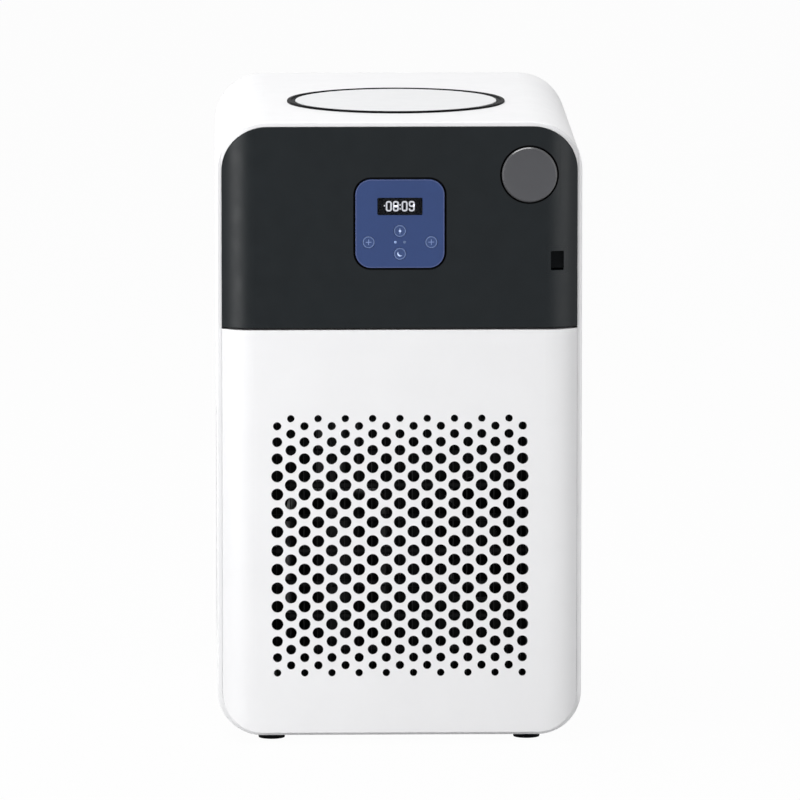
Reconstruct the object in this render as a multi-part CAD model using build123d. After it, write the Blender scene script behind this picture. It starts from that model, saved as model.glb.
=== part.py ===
"""Refrigerated bath circulator, bench size, in millimetres.

X runs right, Y runs back from the flat of the front panels and Z runs up from the floor.
The written nodes are moved along Y, so that the origin is under the middle of the whole.
"""

import math
import os

from build123d import *

# Casing
casing_width = 350.0
casing_height = 596.1
casing_wall = 4.4
casing_front = 15.0
casing_back = 443.0
casing_top_radius = 48.0
casing_bottom_radius = 42.4
casing_rim_round = 1.2
upper_rim_setback = 1.5
flange_width = 12.0
flange_thickness = 2.0
rail_width = 10.0
rail_thickness = 2.0

# Feet
foot_height = 5.6
foot_radius = 13.6
foot_taper = 1.0
foot_side_inset = 51.9
foot_end_inset = 24.9

# Front panels
panel_clearance = 0.2
panel_thickness = 3.0
panel_skirt_back = 28.0
panel_bend_radius = 42.0
panel_bend_width = 30.7
panel_edge_round = 0.7
bend_overrun = 2.0
fascia_height = 199.3
seam_gap = 1.8

# Front and side grilles
hole_pitch_x = 26.16
hole_rows = 30
hole_first_row = 315.9
hole_last_row = 69.0
hole_row_end_pitch = 0.84
hole_end_diameter = 7.1
hole_full_diameter = 11.6
hole_growth_rows = 8
front_hole_columns = 10
side_hole_columns = 6
side_hole_centre = 250.0

# Key panel, display and keys
key_panel_size = 85.3
key_panel_radius = 15.0
key_panel_drop = 97.7
key_panel_gap = 2.0
key_panel_thickness = 3.0
key_panel_setback = 0.2
key_panel_edge_round = 0.6
recess_floor = 3.0
window_width = 43.3
window_height = 16.8
window_rise = 16.6
window_radius = 1.4
window_thickness = 2.0
window_clearance = 0.15
window_ledge = 1.0
digit_height = 10.0
digit_width = 5.7
digit_pitch = 6.75
digit_outer_reach = 11.0
digit_point_reach = 14.7
digit_stroke = 1.4
digit_bar_gap = 0.78
digit_thickness = 0.15
key_radius = 5.8
key_clearance = 0.25
key_proud = 0.4
key_length = 12.2
key_travel = 1.0
key_edge_round = 0.2
key_side_reach = 30.0
key_top_drop = 7.0
key_side_drop = 17.8
key_bottom_drop = 29.0
lamp_radius = 1.3
lamp_reach = 4.4
board_front = 18.4
board_thickness = 1.6
board_margin = 5.0
boss_radius = 3.0
touch_switch_size = 6.0
touch_switch_depth = 3.5
touch_plunger_radius = 1.7
touch_plunger_gap = 0.1
board_chip_x = -19.0
board_chip_drop = 13.0
board_chip_size = 22.0
board_chip_depth = 2.0
board_relay_x = 20.0
board_relay_drop = 28.0
board_relay_width = 28.0
board_relay_height = 20.0
board_relay_depth = 8.0
board_capacitor_x = 20.0
board_capacitor_rise = 26.0
board_capacitor_pitch = 10.0
board_capacitor_radius = 4.0
board_capacitor_length = 10.0

# Control knob
knob_side_inset = 51.1
knob_drop = 50.8
knob_radius = 26.35
knob_ring_gap = 1.9
knob_proud = 2.0
knob_thickness = 4.6
knob_recess_depth = 3.5
knob_recess_floor = 3.0
knob_edge_round = 0.8
knob_shaft_radius = 3.0
encoder_size = 13.0
encoder_depth = 7.0
encoder_wall = 0.8
knob_shaft_gap = 1.0

# Power switch
switch_side_inset = 24.3
switch_drop = 133.8
switch_opening_width = 12.5
switch_opening_height = 18.6
switch_front = 6.4
switch_depth = 16.0
switch_wall = 1.6
switch_seat_depth = 2.0
switch_bezel_margin = 4.0
switch_bezel_radius = 2.0
switch_slot_radius = 1.0
switch_terminal_width = 0.8
switch_terminal_height = 4.8
switch_terminal_length = 7.0
rocker_clearance = 0.3
rocker_tilt = 7.0
rocker_pivot_depth = 6.6
rocker_pin_radius = 1.2
rocker_pin_gap = 0.2
rocker_end_gap = 1.0
rocker_front_reach = 4.6
rocker_valley_reach = 3.6
rocker_back_reach = 2.6
rocker_back_half = 3.0
rocker_corner = 1.0

# Shared fits
running_clearance = 0.05
seat_clearance = 0.3
cut_overrun = 1.0

# Lid and bath
bath_centre_y = 180.4
lid_opening_radius = 100.0
lid_radius = 97.8
lid_thickness = 2.2
lid_edge_round = 0.5
lid_gasket_thickness = 1.2
lid_gasket_width = 7.0
lid_gasket_inset = 1.3
lid_core_radius = 84.0
lid_core_depth = 26.0
rim_radius = 105.9
rim_flange_thickness = 0.8
rim_bead_width = 3.8
rim_bead_height = 2.0
rim_bead_round = 0.9
rim_neck_thickness = 1.5
rim_seat_drop = 1.9
rim_seat_thickness = 1.4
rim_seat_radius = 88.5
tank_radius = 86.0
tank_wall = 1.0
tank_flange_radius = 98.0
insulation_thickness = 20.0
deck_drop = 195.7
deck_thickness = 2.0

# Bath fittings
coil_radius = 78.0
coil_tube_radius = 4.0
coil_pitch = 14.0
coil_turns = 7
coil_rise = 18.0
coil_end_bend = 12.0
coil_inward_bend = 26.0
line_end_drop = 8.0
heater_ring_radius = 32.0
heater_tube_radius = 3.2
heater_rise = 20.0
heater_gap_angle = 25.0
heater_bend = 8.0
heater_leg_reach = 6.0
probe_radius = 2.5
probe_rise = 74.0
probe_offset = 60.0
probe_leg_reach = 12.0
probe_tip_round = 2.0
spigot_radius = 6.5
spigot_bore = 5.0
spigot_reach = 12.0
hose_wall = 3.0
hose_bend = 34.0
hose_grip = 18.0
hose_deck_gap = 4.0
hose_end_gap = 2.0
suction_x = -45.0
suction_offset = 20.0
drain_x = 45.0
drain_offset = -20.0

# Rear panel, hose ports, drain tap and mains inlet
rear_panel_front = 437.0
rear_panel_thickness = 1.5
port_reach = 67.0
port_rise = 74.0
port_body_radius = 8.9
port_flange_radius = 13.0
port_flange_thickness = 3.0
port_nozzle_radius = 6.0
port_nozzle_length = 26.0
port_bore = 4.2
port_inner_length = 22.0
port_nut_thickness = 5.0
port_spigot_front = 412.0
drain_height = 60.0
tap_block_size = 22.0
tap_block_depth = 24.0
tap_nozzle_radius = 5.5
tap_nozzle_length = 20.0
tap_stem_radius = 3.0
tap_stem_depth = 5.0
tap_lever_length = 34.0
tap_lever_width = 9.0
tap_lever_thickness = 3.5
inlet_side_inset = 55.0
inlet_rise = 34.0
inlet_width = 27.4
inlet_height = 19.6
inlet_wall = 1.5
inlet_flange_margin = 2.0
inlet_flange_thickness = 2.5
inlet_depth = 24.0
inlet_socket_depth = 16.5
inlet_blade_width = 2.0
inlet_blade_height = 4.0
inlet_blade_length = 14.0
inlet_blade_reach = 7.0
inlet_earth_rise = 4.0
screw_head_radius = 3.5
screw_head_height = 1.6
screw_head_round = 0.8
screw_slot_length = 4.4
screw_slot_width = 0.8
screw_slot_depth = 0.7
screw_radius = 1.9
screw_length = 7.0
screw_edge_inset = 6.0
screw_corner_inset = 60.0
rear_slot_width = 4.0
rear_slot_height = 46.0
rear_slot_pitch = 12.0
rear_slot_columns = 17
rear_slot_rows = (356.0, 300.0)

# Pump
pump_axis_height = 70.0
pump_front = 265.0
pump_depth = 25.0
pump_radius = 34.0
pump_wall = 4.0
pump_outlet_reach = 22.0
pump_outlet_top = 128.0
pump_inlet_length = 18.0
impeller_radius = 26.0
impeller_disc = 3.0
impeller_blades = 8
impeller_blade_width = 2.0
impeller_gap = 2.0
pump_shaft_radius = 3.0
pump_motor_radius = 28.0
pump_motor_length = 70.0
pump_shaft_reach = 20.0
pump_foot_half_width = 18.0
pump_motor_foot_inset = 8.0

# Refrigeration
base_plate_thickness = 2.0
base_plate_front = 30.0
compressor_x = -58.0
compressor_y = 115.0
compressor_radius = 50.0
compressor_top = 232.0
compressor_dome = 22.0
compressor_bottom = 27.0
compressor_foot_reach = 58.0
compressor_foot_width = 18.0
compressor_foot_thickness = 3.0
compressor_foot_angles = (90, 210, 330)
grommet_radius = 8.0
stub_length = 8.0
discharge_height = 180.0
suction_height = 150.0
fin_edge_gap = 4.0
fin_thickness = 0.8
fin_front = 34.0
fin_depth = 22.0
fin_bottom = 60.0
fin_top = 330.0
fin_tube_clearance = 0.1
condenser_passes = 8
condenser_pitch = 32.0
condenser_first_pass = 85.0
condenser_tube_radius = 3.5
condenser_side_inset = 46.6
condenser_frame_thickness = 1.6
condenser_frame_top_margin = 8.0
condenser_frame_front_margin = 2.0
condenser_stub = 8.0
line_side_inset = 18.6
line_bend = 9.0
liquid_tube_radius = 2.5
drier_radius = 9.0
drier_start = 90.0
drier_length = 80.0
drier_neck_length = 8.0
drier_end_round = 4.0
liquid_riser_y = 240.0
liquid_drop = 28.0
suction_line_y = 195.0
suction_line_x = 14.0
suction_line_drop = 54.0
fan_side_inset = 92.6
fan_z = 190.0
fan_radius = 58.0
fan_tip_gap = 3.0
fan_front_gap = 2.0
fan_ring_wall = 2.0
fan_ring_depth = 20.0
fan_hub_radius = 18.0
fan_hub_depth = 14.0
fan_blades = 7
fan_blade_angle = 32.0
fan_blade_width = 22.0
fan_blade_thickness = 1.6
fan_shaft_radius = 2.5
fan_shaft_reach = 14.0
fan_motor_radius = 22.0
fan_motor_length = 36.0
fan_arm_width = 8.0
fan_arm_thickness = 3.0
fan_arm_angles = (45, 135, 225, 315)
shroud_plate_thickness = 2.0
shroud_reach = 76.0
shroud_fin_gap = 4.0
power_box_width = 50.0
power_box_depth = 90.0
power_box_height = 60.0
power_box_back = 400.0
power_box_chamfer = 3.0

# Worked out from the sizes above
half_width = casing_width / 2
casing_bottom = foot_height
casing_top = foot_height + casing_height
inner_half = half_width - casing_wall
inner_bottom = casing_bottom + casing_wall
inner_top = casing_top - casing_wall
inner_top_radius = casing_top_radius - casing_wall
inner_bottom_radius = casing_bottom_radius - casing_wall
flange_front = panel_skirt_back
flange_back = flange_front + flange_thickness
floor_top = inner_bottom + base_plate_thickness
deck_top = casing_top - deck_drop
deck_bottom = deck_top - deck_thickness
panel_half = inner_half - panel_clearance
panel_bottom = inner_bottom + panel_clearance
panel_top = inner_top - panel_clearance
panel_flat_half = panel_half - panel_bend_width
seam_height = casing_top - fascia_height
fascia_bottom = seam_height + seam_gap / 2
cover_top = seam_height - seam_gap / 2
panel_top_radius = inner_top_radius - panel_clearance
panel_bottom_radius = inner_bottom_radius - panel_clearance
key_panel_centre = casing_top - key_panel_drop
key_top_height = key_panel_centre - key_top_drop
key_side_height = key_panel_centre - key_side_drop
key_bottom_height = key_panel_centre - key_bottom_drop
window_centre = key_panel_centre + window_rise
knob_x = half_width - knob_side_inset
knob_z = casing_top - knob_drop
switch_x = half_width - switch_side_inset
switch_z = casing_top - switch_drop
recess_back = key_panel_setback + key_panel_thickness
pad_back = recess_back + recess_floor
window_back = key_panel_setback + window_thickness
module_front = window_back + digit_thickness + running_clearance
rear_panel_back = rear_panel_front + rear_panel_thickness
rim_flange_top = casing_top + rim_flange_thickness
rim_seat_top = casing_top - rim_seat_drop
rim_seat_bottom = rim_seat_top - rim_seat_thickness
tank_flange_bottom = rim_seat_bottom - tank_wall
tank_outer = tank_radius + tank_wall
tank_bottom = deck_top + insulation_thickness
insulation_radius = tank_outer + insulation_thickness
lid_bottom = rim_seat_top + lid_gasket_thickness
lid_top = lid_bottom + lid_thickness
hose_inner = spigot_radius + running_clearance
hose_outer = hose_inner + hose_wall
coil_bottom = tank_bottom + coil_rise
coil_top = coil_bottom + coil_turns * coil_pitch
heater_height = tank_bottom + heater_rise
probe_top = tank_bottom + probe_rise
spigot_end = deck_bottom - spigot_reach
line_end_height = deck_bottom - line_end_drop
liquid_top = deck_bottom - liquid_drop
suction_line_z = deck_bottom - suction_line_drop
line_side_reach = inner_half - line_side_inset
port_height = tank_bottom + port_rise
inlet_x = half_width - inlet_side_inset
inlet_z = deck_top + inlet_rise
pump_x = -port_reach + pump_outlet_reach
pump_back = pump_front + pump_depth
port_nut_front = rear_panel_front - port_nut_thickness
port_hose_end = port_spigot_front + hose_grip
shroud_front = fin_front + fin_depth + shroud_fin_gap
shroud_back = shroud_front + shroud_plate_thickness
condenser_top = fin_top + condenser_frame_top_margin
condenser_frame_reach = inner_half - condenser_side_inset
fan_x = inner_half - fan_side_inset
fin_pitch = hole_pitch_x / 2
fin_room = condenser_frame_reach - condenser_frame_thickness - fin_edge_gap
fins_each_side = int(fin_room / fin_pitch)
fan_ring_back = shroud_back + fan_ring_depth
port_reach_back = rear_panel_back + port_flange_thickness + port_nozzle_length
tap_reach_back = rear_panel_back + tap_block_depth + tap_nozzle_length
depth_centre = (max(port_reach_back, tap_reach_back) - knob_proud) / 2


def block(x_range, y_range, z_range):
    """Box between two corners, given as a range along each axis."""
    size = [high - low for low, high in (x_range, y_range, z_range)]
    middle = [(high + low) / 2 for low, high in (x_range, y_range, z_range)]
    return Pos(*middle) * Box(*size)


def rod_x(radius, x_range, y, z):
    """Cylinder along X."""
    low, high = x_range
    return Pos((low + high) / 2, y, z) * Rot(0, 90, 0) * Cylinder(radius, high - low)


def rod_y(radius, x, y_range, z):
    """Cylinder along Y."""
    low, high = y_range
    return Pos(x, (low + high) / 2, z) * Rot(90, 0, 0) * Cylinder(radius, high - low)


def rod_z(radius, x, y, z_range):
    """Cylinder along Z."""
    low, high = z_range
    return Pos(x, y, (low + high) / 2) * Cylinder(radius, high - low)


def pipe_y(outer, bore, x, y_range, z):
    """Tube along Y with a through bore."""
    return rod_y(outer, x, y_range, z) - rod_y(bore, x, y_range, z)


def pipe_z(outer, bore, x, y, z_range):
    """Tube along Z with a through bore."""
    return rod_z(outer, x, y, z_range) - rod_z(bore, x, y, z_range)


def facing_plane(y):
    """Plane square to Y at a depth, with its own X right and its own Y up."""
    return Plane(origin=(0, y, 0), x_dir=(1, 0, 0), z_dir=(0, -1, 0))


def upright_prism(half, bottom, top, bottom_radius, top_radius, front, back):
    """Prism along Y whose front outline has its own bottom and top corner radii."""
    outline = Pos(0, (bottom + top) / 2) * Rectangle(2 * half, top - bottom)
    if bottom_radius > 0:
        outline = fillet(outline.vertices().sort_by(Axis.Y)[:2], bottom_radius)
    if top_radius > 0:
        outline = fillet(outline.vertices().sort_by(Axis.Y)[-2:], top_radius)
    return extrude(facing_plane(front) * outline, amount=front - back)


def casing_inside(inset, front, back):
    """Prism that fills the casing's inside, less an inset all round."""
    return upright_prism(
        inner_half - inset,
        inner_bottom + inset,
        inner_top - inset,
        inner_bottom_radius - inset,
        inner_top_radius - inset,
        front,
        back,
    )


def bend_depth(distance, radius):
    """How far the bent side of a front panel lies back at a distance past its flat."""
    return radius - math.sqrt(radius**2 - distance**2)


def bent_prism(inset, bottom, top):
    """Prism along Z with the flat front and bent sides of the front panels, cut wide."""
    half = panel_half - inset + bend_overrun
    radius = panel_bend_radius - inset
    reach = half - panel_flat_half
    half_turn = math.asin(reach / radius) / 2
    edge = (half, inset + bend_depth(reach, radius))
    middle = (
        panel_flat_half + radius * math.sin(half_turn),
        inset + radius * (1 - math.cos(half_turn)),
    )
    right = [
        Line((0, inset), (panel_flat_half, inset)),
        ThreePointArc((panel_flat_half, inset), middle, edge),
        Line(edge, (half, panel_skirt_back)),
        Line((half, panel_skirt_back), (0, panel_skirt_back)),
        Line((0, panel_skirt_back), (0, inset)),
    ]
    half_face = make_face(right)
    plan = half_face + mirror(half_face, Plane.YZ)
    return extrude(Plane.XY.offset(bottom) * plan, amount=top - bottom)


def panel_body(inset, bottom, top, bottom_radius, top_radius):
    """Solid inside a front panel's outer faces, less an inset."""
    prism = upright_prism(
        panel_half - inset,
        bottom + inset,
        top - inset,
        max(bottom_radius - inset, 0),
        max(top_radius - inset, 0),
        0,
        panel_skirt_back,
    )
    return prism & bent_prism(inset, bottom, top)


def front_panel(bottom, top, bottom_radius, top_radius):
    """Dished front panel with a rounded front edge, open at its back."""
    outer = panel_body(0, bottom, top, bottom_radius, top_radius)
    side_depth = bend_depth(panel_bend_width, panel_bend_radius)
    rim = [
        edge
        for edge in outer.edges()
        if edge.center().Y < side_depth - panel_edge_round and not is_bend_seam(edge)
    ]
    outer = fillet(rim, panel_edge_round)
    inner = panel_body(panel_thickness, bottom, top, bottom_radius, top_radius)
    return outer - inner


def is_bend_seam(edge):
    """Whether an edge is the upright line where the flat meets the bend."""
    box = edge.bounding_box()
    return box.size.X < 0.01 and abs(abs(edge.center().X) - panel_flat_half) < 0.01


def row_height(row):
    """Height of a grille row; the first and last rows lie a little closer together."""
    middle = (hole_rows - 1) / 2
    share = (row - middle) / middle
    shape = share * (1 + (1 - hole_row_end_pitch) / 2 * (1 - share**2))
    centre = (hole_first_row + hole_last_row) / 2
    return centre - shape * (hole_first_row - hole_last_row) / 2


def hole_radius(row):
    """Radius of a grille row's holes; they shrink towards the top and the bottom."""
    from_end = min(row, hole_rows - 1 - row)
    share = min(from_end / hole_growth_rows, 1)
    growth = math.sin(share * math.pi / 2)
    return (hole_end_diameter + (hole_full_diameter - hole_end_diameter) * growth) / 2


def row_columns(row, columns):
    """Places across a grille row; every other row has one hole less and is staggered."""
    count = columns if row % 2 else columns - 1
    return [(column - (count - 1) / 2) * hole_pitch_x for column in range(count)]


def grille_cut(plane, columns, depth):
    """Cutting solid for a whole grille, drawn on a plane and run through by a depth."""
    circles = Sketch() + [
        Pos(across, row_height(row)) * Circle(hole_radius(row))
        for row in range(hole_rows)
        for across in row_columns(row, columns)
    ]
    return extrude(plane * circles, amount=depth, both=True)


def tube(edges, radius, bore=0.0):
    """Round tube along joined lines and arcs, solid or with a bore."""
    path = Wire(edges)
    start = Plane(origin=path @ 0, z_dir=path % 0)
    section = Circle(radius) - Circle(bore) if bore else Circle(radius)
    return sweep(start * section, path=path)


def bent_line(points, bend):
    """Edges of a path of straight runs joined by bends of one radius."""
    return FilletPolyline(*points, radius=bend).edges()


def arc(start, middle, end):
    """Arc through three points."""
    return ThreePointArc(start, middle, end).edge()


def bath_point(x, offset, z):
    """Point given from the bath's own axis."""
    return (x, bath_centre_y + offset, z)


def lamp_places():
    """Centres of the two indicator lights."""
    return [(-lamp_reach, key_side_height), (lamp_reach, key_side_height)]


def key_places():
    """Name and centre of each key."""
    return {
        "key_top": (0, key_top_height),
        "key_bottom": (0, key_bottom_height),
        "key_left": (-key_side_reach, key_side_height),
        "key_right": (key_side_reach, key_side_height),
    }


def board_corners():
    """Centres of the bosses that carry the control board."""
    reach = key_panel_size / 2
    heights = (key_panel_centre - reach, key_panel_centre + reach)
    return [(x, z) for x in (-reach, reach) for z in heights]


def coil_leg_places():
    """Where the cooling coil's two ends go down through the bath's bottom."""
    outer = (coil_radius, -coil_end_bend)
    inner = (coil_radius - coil_inward_bend - coil_end_bend, coil_inward_bend)
    return [outer, inner]


def heater_leg_places():
    """Where the heater's two ends go down through the bath's bottom."""
    angle = math.radians(-90 + heater_gap_angle)
    x = heater_ring_radius * math.cos(angle) + heater_bend * math.sin(angle)
    offset = heater_ring_radius * math.sin(angle) - heater_bend * math.cos(angle)
    return [(x, offset), (-x, offset)]


def bottom_passages():
    """Place and radius of everything that goes down through the bath's bottom."""
    passages = [(x, y, coil_tube_radius) for x, y in coil_leg_places()]
    passages += [(x, y, heater_tube_radius) for x, y in heater_leg_places()]
    passages.append((0, probe_offset, probe_radius))
    return passages


def spigot_places():
    """Place of the bath's suction and drain spigots."""
    return [(suction_x, suction_offset), (drain_x, drain_offset)]


def screw_places():
    """Centres of the rear panel's screws, on the casing's rear flange."""
    side = inner_half - screw_edge_inset
    low = inner_bottom + screw_edge_inset
    high = inner_top - screw_edge_inset
    side_heights = (
        inner_bottom + screw_corner_inset,
        deck_bottom - screw_corner_inset,
        inner_top - screw_corner_inset,
    )
    places = [(x, z) for x in (-side, side) for z in side_heights]
    places += [(x, z) for x in (-side / 2, side / 2) for z in (low, high)]
    return places


def casing_body(front):
    """Outside of the casing from a front plane to its back, with both rims rounded."""
    body = upright_prism(
        half_width,
        casing_bottom,
        casing_top,
        casing_bottom_radius,
        casing_top_radius,
        front,
        casing_back,
    )
    end_edges = body.edges().filter_by(lambda edge: edge.bounding_box().size.Y < 0.01)
    return fillet(end_edges, casing_rim_round)


def upper_rim():
    """Part of the casing above the seam that comes forward round the fascia's bend."""
    x_range = (-panel_half, panel_half)
    z_range = (seam_height, casing_top)
    back = casing_front + casing_rim_round + cut_overrun
    rim = casing_body(upper_rim_setback) & block(x_range, (upper_rim_setback, back), z_range)
    follow = Pos(0, upper_rim_setback, 0) * bent_prism(0, seam_height, casing_top)
    return rim - (block(x_range, (0, casing_front), z_range) - follow)


def make_casing():
    """Outer tube with its rims, inner flanges, deck rails, lid opening and side holes."""
    outer = casing_body(casing_front) + upper_rim()
    ends = (upper_rim_setback - cut_overrun, casing_back + cut_overrun)
    shell = outer - casing_inside(0, *ends)
    rear_flange_front = rear_panel_front - flange_thickness
    for front in (flange_front, rear_flange_front):
        back = front + flange_thickness
        flange = casing_inside(0, front, back) - casing_inside(flange_width, front, back)
        shell += flange
    for side in (-1, 1):
        wall_x = side * inner_half
        edge_x = side * (inner_half - rail_width)
        x_range = (min(wall_x, edge_x), max(wall_x, edge_x))
        z_range = (deck_bottom - rail_thickness, deck_bottom)
        shell += block(x_range, (flange_back, rear_flange_front), z_range)
    z_range = (inner_top - cut_overrun, casing_top + cut_overrun)
    shell -= rod_z(lid_opening_radius, 0, bath_centre_y, z_range)
    side_plane = Plane(
        origin=(0, side_hole_centre, 0), x_dir=(0, 1, 0), z_dir=(1, 0, 0)
    )
    side_cut = grille_cut(side_plane, side_hole_columns, half_width + cut_overrun)
    shell -= side_cut & block(
        (-half_width, half_width), (0, casing_back), (casing_bottom, seam_height)
    )
    for x, z in screw_places():
        y_range = (rear_flange_front - cut_overrun, rear_panel_front + cut_overrun)
        shell -= rod_y(screw_radius + running_clearance, x, y_range, z)
    return shell


def make_base_plate():
    """Steel floor that carries the compressor, the pump and the condenser."""
    rear_flange_front = rear_panel_front - flange_thickness
    plate = casing_inside(0, base_plate_front, rear_flange_front)
    return plate & block(
        (-half_width, half_width), (0, casing_back), (inner_bottom, floor_top)
    )


def make_feet(y):
    """A pair of round rubber feet that taper towards the floor."""
    x = half_width - foot_side_inset
    foot = Cone(foot_radius - foot_taper, foot_radius, foot_height)
    return [Pos(side * x, y, foot_height / 2) * foot for side in (-1, 1)]


def switch_prism(margin, radius, front, back):
    """Prism along Y round the switch opening, wider than it by a margin."""
    half_height = switch_opening_height / 2 + margin
    prism = upright_prism(
        switch_opening_width / 2 + margin,
        switch_z - half_height,
        switch_z + half_height,
        radius,
        radius,
        front,
        back,
    )
    return Pos(switch_x, 0, 0) * prism


def make_fascia():
    """Dark upper panel with its key recess, knob dish and place for the switch bezel."""
    body = front_panel(fascia_bottom, panel_top, 0, panel_top_radius)
    outer = panel_body(0, fascia_bottom, panel_top, 0, panel_top_radius)
    recess_half = key_panel_size / 2 + key_panel_gap
    pad_half = recess_half + panel_thickness
    pad = block(
        (-pad_half, pad_half),
        (panel_thickness / 2, pad_back),
        (key_panel_centre - pad_half, key_panel_centre + pad_half),
    )
    recess = upright_prism(
        recess_half,
        key_panel_centre - recess_half,
        key_panel_centre + recess_half,
        key_panel_radius + key_panel_gap,
        key_panel_radius + key_panel_gap,
        -cut_overrun,
        recess_back,
    )
    dish_radius = knob_radius + knob_ring_gap
    dish_back = knob_recess_depth + knob_recess_floor
    dish_pad = rod_y(dish_radius + panel_thickness, knob_x, (0, dish_back), knob_z)
    dish = rod_y(dish_radius, knob_x, (-cut_overrun, knob_recess_depth), knob_z)
    body += (pad + dish_pad) & outer
    body = body - recess - dish
    body -= rod_y(
        knob_shaft_radius + seat_clearance, knob_x, (0, dish_back + cut_overrun), knob_z
    )
    bezel_margin = switch_bezel_margin + running_clearance
    bezel_range = (-cut_overrun, panel_skirt_back)
    body -= switch_prism(bezel_margin, switch_bezel_radius, *bezel_range)
    for x, z in board_corners():
        body += rod_y(boss_radius, x, (recess_back, board_front), z)
    through = (-cut_overrun, pad_back + cut_overrun)
    for x, z in key_places().values():
        body -= rod_y(key_radius + key_clearance, x, through, z)
    for x, z in lamp_places():
        body -= rod_y(lamp_radius + running_clearance, x, through, z)
    module_half_x = window_width / 2 - window_ledge
    module_half_z = window_height / 2 - window_ledge
    z_range = (window_centre - module_half_z, window_centre + module_half_z)
    body -= block((-module_half_x, module_half_x), through, z_range)
    return body


def make_switch_bezel():
    """Insert in the fascia, flush with its bent face, that the power switch sits behind."""
    outer = panel_body(0, fascia_bottom, panel_top, 0, panel_top_radius)
    back = switch_front + switch_seat_depth
    bezel = switch_prism(switch_bezel_margin, switch_bezel_radius, 0, back) & outer
    seat_margin = switch_wall + running_clearance
    bezel -= switch_prism(seat_margin, 0, switch_front, back + cut_overrun)
    return bezel - switch_prism(0, switch_slot_radius, -cut_overrun, back)


def make_grille_cover():
    """White lower panel with its graded holes."""
    body = front_panel(panel_bottom, cover_top, panel_bottom_radius, 0)
    depth = panel_thickness + cut_overrun
    return body - grille_cut(facing_plane(0), front_hole_columns, depth)


def window_prism(inset, front, back):
    """Prism along Y inside the window's outline, less an inset."""
    half_height = window_height / 2 - inset
    return upright_prism(
        window_width / 2 - inset,
        window_centre - half_height,
        window_centre + half_height,
        window_radius - inset,
        window_radius - inset,
        front,
        back,
    )


def make_key_panel():
    """Rounded square plate that the keys, the lights and the window sit in."""
    half = key_panel_size / 2
    panel = upright_prism(
        half,
        key_panel_centre - half,
        key_panel_centre + half,
        key_panel_radius,
        key_panel_radius,
        key_panel_setback,
        recess_back,
    )
    front = panel.faces().sort_by(Axis.Y)[0]
    panel = fillet(front.edges(), key_panel_edge_round)
    through = (-cut_overrun, pad_back)
    panel -= window_prism(0, *through)
    for x, z in key_places().values():
        panel -= rod_y(key_radius + key_clearance, x, through, z)
    for x, z in lamp_places():
        panel -= rod_y(lamp_radius + running_clearance, x, through, z)
    return panel


def make_window():
    """Dark clear pane in front of the digits."""
    return window_prism(window_clearance, key_panel_setback, window_back)


def make_display_module():
    """Display body between the pane and the control board."""
    half_x = window_width / 2 - window_ledge - window_clearance
    half_z = window_height / 2 - window_ledge - window_clearance
    z_range = (window_centre - half_z, window_centre + half_z)
    return block((-half_x, half_x), (module_front, board_front), z_range)


def make_digits():
    """Lit bars of four digits, with a colon between the pairs and a leading point."""
    bars = {
        "top": (0, 1, "flat"),
        "middle": (0, 0, "flat"),
        "bottom": (0, -1, "flat"),
        "upper_left": (-1, 0.5, "upright"),
        "upper_right": (1, 0.5, "upright"),
        "lower_left": (-1, -0.5, "upright"),
        "lower_right": (1, -0.5, "upright"),
    }
    unlit = {"0": ["middle"], "8": [], "9": ["lower_left"]}
    outer = digit_outer_reach
    digit_centres = [-outer, digit_pitch - outer, outer - digit_pitch, outer]
    y_range = (module_front - digit_thickness, module_front)
    reach_x = (digit_width - digit_stroke) / 2
    reach_z = (digit_height - digit_stroke) / 2
    solids = []
    for digit, centre in zip("0809", digit_centres):
        for name, (across, up, way) in bars.items():
            if name in unlit[digit]:
                continue
            x = centre + across * reach_x
            z = window_centre + up * reach_z
            long_x = reach_x - digit_bar_gap
            long_z = reach_z / 2 - digit_bar_gap
            half_x = long_x if way == "flat" else digit_stroke / 2
            half_z = digit_stroke / 2 if way == "flat" else long_z
            bar = block((x - half_x, x + half_x), y_range, (z - half_z, z + half_z))
            solids.append(bar)
    points = [(0, digit_height / 5), (0, -digit_height / 5)]
    points.append((-digit_point_reach, 0))
    for x, up in points:
        solids.append(rod_y(digit_stroke / 2, x, y_range, window_centre + up))
    return solids


def make_key(place):
    """Push key: a round cap on a plunger that reaches to its switch."""
    x, z = place
    front = key_panel_setback - key_proud
    key = rod_y(key_radius, x, (front, front + key_length), z)
    return fillet(key.faces().sort_by(Axis.Y)[0].edges(), key_edge_round)


def make_lamps():
    """Two light guides from the board to the key panel."""
    return [rod_y(lamp_radius, x, (0, board_front), z) for x, z in lamp_places()]


def make_key_switches():
    """Four touch switches on the control board, one behind each key."""
    key_back = key_panel_setback - key_proud + key_length
    plunger_front = key_back + key_travel + touch_plunger_gap
    body_front = board_front - touch_switch_depth
    half = touch_switch_size / 2
    switches = []
    for x, z in key_places().values():
        body = block((x - half, x + half), (body_front, board_front), (z - half, z + half))
        plunger = rod_y(touch_plunger_radius, x, (plunger_front, body_front), z)
        switches.append(body + plunger)
    return switches


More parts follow.
